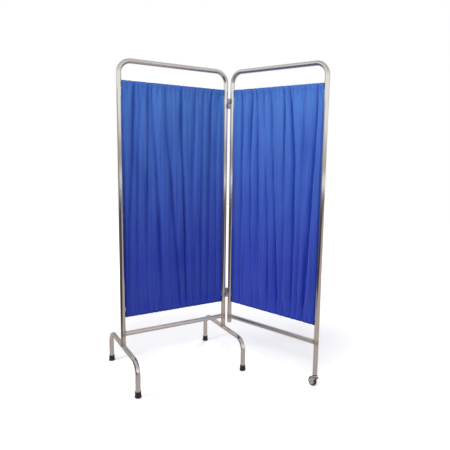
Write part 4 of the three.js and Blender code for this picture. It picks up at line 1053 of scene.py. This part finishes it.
def make_curtain(letter):
    edge = TUBE_RADIUS + CURTAIN_SIDE_GAP - EDGE_SPREAD
    width = OUTER_X - INNER_X - 2 * edge
    start = min(PANEL_SIDES[letter] * along for _, along in UPRIGHTS) + edge
    heights, rest_depths = np.array(cloth_rows()).T
    x, z = np.meshgrid(np.linspace(0, width, CLOTH_COLUMNS), heights)
    rest = np.repeat(rest_depths[:, None], CLOTH_COLUMNS, axis=1)
    from_edge = np.minimum(x, width - x)
    tracks = crease_tracks(letter, heights, width)
    inner_folds = fold_depth(letter, x, z, tracks) * smooth_step(from_edge / EDGE_CALM_WIDTH)
    folds = np.clip(inner_folds + edge_curl(letter, x, z, width), -DEPTH_LIMIT, DEPTH_LIMIT)
    wave = gathers(letter, x, z, crease_nearness(x, tracks))
    depth = rest + folds + hem_depth(z, rest, wave)
    top_share = smooth_step((z - TOP_STITCH) / HEADER_HEIGHT)
    bottom_share = smooth_step((BOTTOM_STITCH - z) / HEADER_HEIGHT)
    wavy_z = z + HEM_WAVE_HEIGHT * (0.5 - 0.5 * wave) * (top_share - bottom_share)
    points = np.stack([start + x, PLANE_Y + depth, wavy_z], axis=2)
    uvs = flat_coordinates(points).reshape(-1, 2)
    faces = grid_faces(len(heights), CLOTH_COLUMNS)
    piece = make_object(f"hung_curtain_{letter}", points.reshape(-1, 3), faces,
                        PANEL_PLACES[letter], 180.0, uvs)
    mark(piece, "crease_shade", crease_shade_marks(z, rest, folds, wave).ravel().astype(np.float32))
    mark(piece, "edge_shade", edge_shade_marks(z, from_edge).ravel().astype(np.float32))
    modify(piece, "SOLIDIFY", thickness=CLOTH_THICKNESS, offset=0)
    dress(piece, f"panel_{letter}", cloth_finish, f"curtain_{letter}")
    for place_name, height in (("top", TOP_STITCH), ("bottom", BOTTOM_STITCH)):
        row = int(np.argmin(np.abs(heights - height) + 1.0 * (rest_depths > 0)))
        make_stitches(letter, place_name, points[row])


STITCH_PITCH = 3.4 * MM
STITCH_LENGTH = 2.5 * MM
STITCH_START = 0.4 * MM
STITCH_SIDES = 6
# Each ring's place along a stitch, its thickness, and how far it sinks in, as shares
STITCH_RINGS = ((0, 0.35, 0.5), (0.25, 0.95, 0.0), (0.75, 0.95, 0.0), (1, 0.35, 0.5))
THREAD_RADIUS = 0.26 * MM
THREAD_STAND = 0.4 * THREAD_RADIUS


def make_stitches(letter, place_name, line):
    """Lock stitches that lie on the front of the cloth, along one row of its points."""
    across = np.linalg.norm(np.diff(line, axis=0), axis=1)
    run = np.concatenate([[0.0], np.cumsum(across)])
    front = Vector((0, -CLOTH_THICKNESS / 2 - THREAD_STAND, 0))

    def at(distance):
        return Vector([np.interp(distance, run, line[:, axis]) for axis in range(3)]) + front

    vertices, faces = [], []
    for index in range(int(run[-1] / STITCH_PITCH)):
        start = at(index * STITCH_PITCH + STITCH_START)
        end = at(index * STITCH_PITCH + STITCH_START + STITCH_LENGTH)
        along = (end - start).normalized()
        side_way = along.cross(Vector((0, 0, 1))).normalized()
        up = side_way.cross(along)
        first = len(vertices)
        for share, swell, sink in STITCH_RINGS:
            centre = start.lerp(end, share) - front.normalized() * (THREAD_RADIUS * sink)
            for angle in circle(STITCH_SIDES):
                offset = side_way * math.cos(angle) + up * math.sin(angle)
                vertices.append(centre + offset * (THREAD_RADIUS * swell))
        faces += grid_faces(len(STITCH_RINGS), STITCH_SIDES, closed_columns=True, first=first)
        for cap in (first, len(vertices) - STITCH_SIDES):
            faces.append(tuple(range(cap, cap + STITCH_SIDES)))
    piece = make_object(f"stitches_{letter}_{place_name}", vertices, faces, PANEL_PLACES[letter], 60.0)
    dress(piece, f"panel_{letter}", thread_finish)


for panel_letter in "ab":
    make_curtain(panel_letter)


# End plug and caster

STEM_PLACE = PANEL_PLACES["b"] @ Matrix.Translation((OUTER_X, PLANE_Y, 0))
PLUG_PLAY = 0.6 * MM
PLUG_WALL = 2 * MM


def make_plug():
    low, high = height_range("end_plug_b")
    flange_top = low + PLUG_FLANGE
    radius = TUBE_RADIUS - TUBE_WALL - PLUG_PLAY
    hollow = radius - PLUG_WALL
    profile = round_corners([
        (0.0, low), (TUBE_RADIUS - PLUG_FLANGE / 2, low), (TUBE_RADIUS, low + PLUG_FLANGE / 2),
        (TUBE_RADIUS, flange_top), (radius, flange_top), (radius, high),
        (hollow, high), (hollow, flange_top), (0.0, flange_top),
    ], EDGE_ROUNDING)
    place = PANEL_PLACES["b"] @ Matrix.Translation((INNER_X, PLANE_Y, 0))
    dress(lathe("plug_fine", profile, place), "panel_b", plug_finish, "end_plug_b")


def make_sleeve():
    low, high = height_range("caster_sleeve")
    flange_top = CASTER_UPRIGHT_FOOT_Z - SEAT_GAP
    flange_radius = TUBE_RADIUS - 0.5 * MM
    core = TUBE_RADIUS - TUBE_WALL - 1.0 * MM
    bore = 5.3 * MM
    profile = round_corners([
        (bore, low), (flange_radius, low), (flange_radius, flange_top),
        (core, flange_top), (core, high), (bore, high),
    ], EDGE_ROUNDING) + [(bore, low)]
    dress(lathe("sleeve_fine", profile, STEM_PLACE), "panel_b", sleeve_finish, "caster_sleeve")


HEAD_RADIUS = 15 * MM
HEAD_BORE = 4.3 * MM
HEAD_SHEET = 1.6 * MM
HEAD_CROWN_RADIUS = 6.6 * MM
HEAD_SHOULDER_RISE = 3 * MM
HEAD_RACE_DEPTH = 3.8 * MM
HEAD_STEPS = 12


def make_head():
    low, high = height_range("swivel_head")
    shoulder = low + HEAD_SHOULDER_RISE
    race = high - HEAD_RACE_DEPTH
    lip = HEAD_RADIUS - HEAD_SHEET
    profile = [(HEAD_BORE, race), (lip - HEAD_SHEET, race), (lip, race - HEAD_SHEET), (lip, low),
               (HEAD_RADIUS - 0.3 * MM, low), (HEAD_RADIUS, low + 0.3 * MM), (HEAD_RADIUS, shoulder)]
    profile += arc(HEAD_CROWN_RADIUS, shoulder, HEAD_RADIUS - HEAD_CROWN_RADIUS, high - shoulder,
                   quarter_turn(HEAD_STEPS, 1))
    profile += [(HEAD_BORE, high), (HEAD_BORE, race)]
    dress(lathe("head_fine", profile, STEM_PLACE), "panel_b", bright_finish, "swivel_head")


FORK_GAP = 23.6 * MM
FORK_SHEET = 2.2 * MM
FORK_CORNER = 5 * MM
FORK_EDGE = 0.35 * MM
FORK_CROWN_REACH = 15 * MM
FORK_EYE_RADIUS = 8 * MM
FORK_COLUMNS = 15
FORK_STEPS = 12
FORK_CORNER_STEPS = 8
FORK_CROWN_STEPS = 4


def fork_reach(z, crown_edge, hand):
    """How far the cheek reaches along the trail at a height. Hand is -1 at its back edge."""
    corner = Vector((hand * FORK_CROWN_REACH, crown_edge))
    eye = Vector((WHEEL_TRAIL, AXLE_Z))
    if z >= crown_edge:
        return corner.x
    to_eye = eye - corner
    widening = math.asin(FORK_EYE_RADIUS / to_eye.length)
    heading = math.atan2(to_eye.y, to_eye.x) + hand * widening
    touch_run = math.sqrt(to_eye.length_squared - FORK_EYE_RADIUS ** 2)
    touch = corner + Vector((math.cos(heading), math.sin(heading))) * touch_run
    if z >= touch.y:
        return corner.x + (touch.x - corner.x) * (corner.y - z) / (corner.y - touch.y)
    return eye.x + hand * math.sqrt(max(0.0, FORK_EYE_RADIUS ** 2 - (z - eye.y) ** 2))


def make_fork():
    """The fork is a folded sheet: a grid from one cheek's eye over the crown to the other."""
    crown_top = height_range("caster_fork")[1]
    crown_edge = crown_top - FORK_CORNER
    outer = FORK_GAP / 2 + FORK_SHEET
    section = [(-outer, AXLE_Z - FORK_EYE_RADIUS * math.cos(angle)) for angle in quarter_turn(FORK_STEPS)]
    section += [(-outer, z) for z in np.linspace(AXLE_Z, crown_edge, FORK_STEPS + 1)[1:]]
    section += arc(FORK_CORNER - outer, crown_edge, -FORK_CORNER, FORK_CORNER,
                   quarter_turn(FORK_CORNER_STEPS, 1))
    section += [(y, crown_top) for y in np.linspace(FORK_CORNER - outer, 0, FORK_CROWN_STEPS + 1)[1:]]
    section += [(-y, z) for y, z in reversed(section[:-1])]
    vertices = []
    for y, z in section:
        z = max(z, AXLE_Z - FORK_EYE_RADIUS + 0.02 * MM)
        back, front = (fork_reach(z, crown_edge, hand) for hand in (-1, 1))
        vertices += [(x, y, z) for x in np.linspace(back, front, FORK_COLUMNS)]
    piece = make_object("fork_fine", vertices, grid_faces(len(section), FORK_COLUMNS), CASTER_PLACE, 50.0)
    modify(piece, "SOLIDIFY", thickness=FORK_SHEET, offset=-1)
    bevel(piece, FORK_EDGE)
    dress(piece, "caster_swivel_body", bright_finish, "caster_fork")


AXLE_PLACE = (CASTER_PLACE @ Matrix.Translation((WHEEL_TRAIL, 0, AXLE_Z))
              @ Matrix.Rotation(math.pi / 2, 4, "X"))
TYRE_HALF_WIDTH = 9 * MM
TYRE_SEAT_RADIUS = AXLE_Z - 7.2 * MM
TYRE_ROUNDING = 5 * MM
TYRE_SIDE_RISES = (0.0, 1.6 * MM, 2.0 * MM)
TYRE_SIDES = 72
TYRE_STEPS = 8
HUB_RADIUS = 7.5 * MM
HUB_BORE = 4.5 * MM
HUB_HALF_WIDTH = FORK_GAP / 2 - 0.5 * MM
RIM_THICKNESS = 2.4 * MM
WEB_HALF_WIDTH = 2.5 * MM
WHEEL_DRAFT = 0.6 * MM
WHEEL_ROUNDING = 0.7 * MM
WHEEL_SIDES = 64


def make_tyre():
    seat, half = TYRE_SEAT_RADIUS, TYRE_HALF_WIDTH
    profile = [(seat + rise, -half) for rise in TYRE_SIDE_RISES]
    for hand, start in ((-1, -math.pi / 2), (1, 0.0)):
        profile += arc(AXLE_Z - TYRE_ROUNDING, hand * (half - TYRE_ROUNDING), TYRE_ROUNDING, TYRE_ROUNDING,
                       quarter_turn(TYRE_STEPS, start=start))
    profile += [(seat, half), (seat, -half)]
    dress(lathe("tyre_fine", profile, AXLE_PLACE, TYRE_SIDES), "caster_wheel", tyre_finish, "wheel_tyre")


def make_core():
    rim = TYRE_SEAT_RADIUS - SEAT_GAP
    rim_inner = rim - RIM_THICKNESS
    rim_half = TYRE_HALF_WIDTH - SEAT_GAP
    upper = [
        (HUB_BORE, HUB_HALF_WIDTH), (HUB_RADIUS, HUB_HALF_WIDTH), (HUB_RADIUS + WHEEL_DRAFT, WEB_HALF_WIDTH),
        (rim_inner - WHEEL_DRAFT, WEB_HALF_WIDTH), (rim_inner, rim_half), (rim, rim_half),
    ]
    lower = [(radius, -offset) for radius, offset in upper]
    profile = round_corners(lower + upper[::-1], WHEEL_ROUNDING) + [lower[0]]
    dress(lathe("core_fine", profile, AXLE_PLACE, WHEEL_SIDES), "caster_wheel", wheel_finish, "wheel_core")


make_plug()
make_sleeve()
make_head()
make_fork()
make_tyre()
make_core()


# Nodes that keep their own shape get their finish and a fine edge

KEPT_EDGE = 0.15 * MM
KEPT_EDGE_ANGLE = math.radians(50)
ROD_ENDS = ("top", "bottom")
KEPT_NODES = (
    (dull_finish, ["upper_hinge_washer", "lower_hinge_washer", "swivel_ball_ring"]
     + [f"foot_washer_{leg}_{post}" for leg, _ in UPRIGHTS for post, _ in LEG_POSTS]),
    (fitting_finish, [f"curtain_rod_{letter}_{end}" for letter in "ab" for end in ROD_ENDS]
     + [f"rod_hook_{letter}_{end}_{side}"
        for letter in "ab" for end in ROD_ENDS for side, _ in UPRIGHTS]),
    (bright_finish, ["caster_stem", "axle_bolt", "axle_nut", "axle_sleeve"]),
)
for (_, kept_material), node_names in KEPT_NODES:
    for node_name in node_names:
        node_object = frame["nodes"][node_name]
        for material_slot in node_object.material_slots:
            material_slot.material = kept_material
        bevel(node_object, KEPT_EDGE, angle_limit=KEPT_EDGE_ANGLE)


# Stage, lamps and camera

FLOOR_SIZE = 14.0
FLOOR_Z = -0.3 * MM
FLOOR_TONE = (0.80, 0.80, 0.80)
NEAR_FLOOR_GLOW = 0.42
NEAR_FLOOR_REACH = 0.9
FAR_FLOOR_REACH = 2.4
SWEEP_EDGE_X = -0.9
SWEEP_EDGE_SOFTNESS = 0.35
SWEEP_IN_STEEL = (0.50, 0.44, 0.41)
DARK_FLOOR_IN_STEEL = (0.06, 0.052, 0.05)
FLAG_X = -2.2
FLAG_Y_RANGE = (-0.6, 2.4)
FLAG_HEIGHT = 1.75
FLAG_DARK = (0.13, 0.12, 0.112)
FLAG_LIGHT = (0.56, 0.54, 0.52)
FLAG_FADE_HEIGHTS = (0.60, 1.70)
WHITE = (1, 1, 1)


def make_board(name, corners, place, material, graph, surface):
    """A flat board of the stage, with the surface that its graph ends in."""
    board = make_object(name, corners, [(0, 1, 2, 3)], place)
    graph.feed(graph.nodes["Material Output"], {"Surface": surface})
    board.data.materials.append(material)
    return board


def make_floor():
    """The camera sees a floor that fades to white, and the steel sees a darker one."""
    material, graph = new_material("white_floor")
    lit = graph.shade({"Base Color": FLOOR_TONE, "Roughness": 0.9, "Specular IOR Level": 0.0})
    ray = graph.add("LightPath")
    away = graph.add("VectorMath", {0: graph.coordinates()}, operation="LENGTH")["Value"]
    level = graph.ranged(away, NEAR_FLOOR_GLOW, 1.0, NEAR_FLOOR_REACH, FAR_FLOOR_REACH)
    glow = graph.emission(WHITE, graph.calculate("MULTIPLY", ray["Is Camera Ray"], level))
    seen = graph.add("AddShader", {0: lit, 1: glow})["Shader"]
    on_sweep = graph.ranged(graph.split(graph.coordinates(), "X"), 0, 1,
                            SWEEP_EDGE_X - SWEEP_EDGE_SOFTNESS, SWEEP_EDGE_X + SWEEP_EDGE_SOFTNESS)
    in_steel = graph.emission(graph.mix(on_sweep, DARK_FLOOR_IN_STEEL, SWEEP_IN_STEEL))
    surface = graph.add("MixShader", {"Fac": ray["Is Glossy Ray"], 1: seen, 2: in_steel})["Shader"]
    half = FLOOR_SIZE / 2
    corners = [(-half, -half, 0), (half, -half, 0), (half, half, 0), (-half, half, 0)]
    make_board("floor", corners, Matrix.Translation((0, 0, FLOOR_Z)), material, graph, surface)


def make_flag():
    """A glowing sheet at the left of the studio, dark below and paler above. Only the steel sees it, so it
    paints a reflection into the steel.
    """
    material, graph = new_material("painted_reflection_sheet")
    rise = graph.ranged(graph.split(graph.coordinates(), "Z"), 0, 1, *FLAG_FADE_HEIGHTS)
    surface = graph.emission(graph.mix(rise, FLAG_DARK, FLAG_LIGHT))
    start, end = FLAG_Y_RANGE
    corners = [(FLAG_X, y, z) for y, z in ((start, 0), (end, 0), (end, FLAG_HEIGHT), (start, FLAG_HEIGHT))]
    flag = make_board("studio_flag", corners, Matrix(), material, graph, surface)
    flag.visible_camera = False
    flag.visible_diffuse = False
    flag.visible_shadow = False


# What the steel sees around it: each tone with the Z of its direction, from -1 straight down
# to 1 straight up, on the camera's side and behind the screen
CAMERA_SIDE_TONES = (
    (-1.0, (0.16, 0.145, 0.14)),
    (-0.088, (0.16, 0.145, 0.14)),
    (-0.074, (1.0, 1.0, 0.98)),
    (-0.048, (1.0, 1.0, 0.98)),
    (-0.038, (0.36, 0.32, 0.31)),
    (0.0, (0.46, 0.42, 0.41)),
    (0.045, (0.90, 0.89, 0.87)),
    (0.09, (1.0, 1.0, 0.98)),
    (0.35, (0.95, 0.94, 0.92)),
    (0.60, (0.62, 0.59, 0.57)),
    (1.0, (0.60, 0.56, 0.54)),
)
BEHIND_TONES = (
    (-1.0, (0.90, 0.88, 0.86)),
    (0.04, (0.90, 0.88, 0.86)),
    (0.16, (0.42, 0.40, 0.385)),
    (0.44, (0.34, 0.32, 0.305)),
    (0.60, (0.82, 0.80, 0.78)),
    (0.80, (0.72, 0.69, 0.67)),
    (1.0, (0.60, 0.56, 0.54)),
)
AMBIENT_TONE = (0.22, 0.22, 0.27)


def add_tones(graph, height, tones):
    ramp = graph.nodes.new("ShaderNodeValToRGB")
    stops = ramp.color_ramp.elements
    for rise, _ in tones[1:-1]:
        stops.new(0.5 + rise / 2)
    for stop, (rise, tone) in zip(stops, tones):
        stop.position = 0.5 + rise / 2
        stop.color = (*tone, 1)
    graph.feed(ramp, {"Fac": height})
    return ramp.outputs["Color"]


def make_world():
    """White for the camera and an even ambient light. Metal sees a studio instead."""
    world = bpy.data.worlds.new("studio")
    bpy.context.scene.world = world
    graph = Graph(world)
    ray = graph.add("LightPath")
    direction = graph.coordinates("Generated")
    away = (math.sin(-CAMERA_TURN), math.cos(CAMERA_TURN), 0.0)
    facing = graph.add("VectorMath", {0: direction, 1: away}, operation="DOT_PRODUCT")["Value"]
    behind = graph.ranged(facing, 0.0, 1.0, -0.1, 0.55)
    height = graph.ranged(graph.split(direction, "Z"), 0.0, 1.0, -1.0, 1.0)
    sides = [add_tones(graph, height, tones) for tones in (CAMERA_SIDE_TONES, BEHIND_TONES)]
    studio = graph.mix(behind, *sides)
    lit = graph.mix(ray["Is Glossy Ray"], AMBIENT_TONE, studio)
    colour = graph.mix(ray["Is Camera Ray"], lit, WHITE)
    graph.feed(graph.nodes["Background"], {"Color": colour, "Strength": 1.0})


# Each lamp's name, place, target, size, power and colour
LAMPS = (
    ("left_window", (-2.6, 0.05, 2.1), (0.1, 0.0, 1.2), (0.7, 1.0), 36, (1.0, 1.0, 0.97)),
    ("far_side", (1.6, 1.9, 2.2), (0.1, 0.1, 1.0), (1.4, 1.0), 34, (1.0, 1.0, 0.98)),
    ("high_front", (-0.6, -1.3, 2.5), (0.1, 0.0, 1.4), (0.9, 0.7), 36, (1.0, 1.0, 0.96)),
)


def make_lamp(name, place, target, size, power, colour):
    light = bpy.data.lights.new(name, "AREA")
    light.shape = "RECTANGLE"
    light.size, light.size_y = size
    light.energy = power
    light.color = colour
    lamp = add_object(name, light)
    lamp.location = place
    lamp.rotation_euler = (Vector(target) - Vector(place)).to_track_quat("-Z", "Y").to_euler()
    lamp.visible_camera = False
    lamp.visible_glossy = False


def make_camera():
    data = bpy.data.cameras.new("camera")
    data.sensor_width = CAMERA_SENSOR_MM
    data.lens = CAMERA_LENS_MM
    data.shift_x = CAMERA_SHIFT_X
    data.shift_y = CAMERA_SHIFT_Y
    camera = add_object("camera", data)
    camera.matrix_world = (
        Matrix.Translation(CAMERA_PLACE)
        @ Matrix.Rotation(CAMERA_TURN, 4, "Z")
        @ Matrix.Rotation(math.pi / 2 + CAMERA_PITCH, 4, "X")
        @ Matrix.Rotation(CAMERA_ROLL, 4, "Z")
    )
    bpy.context.scene.camera = camera


make_floor()
make_flag()
make_world()
for lamp_row in LAMPS:
    make_lamp(*lamp_row)
make_camera()

bpy.context.scene.view_settings.view_transform = "Standard"
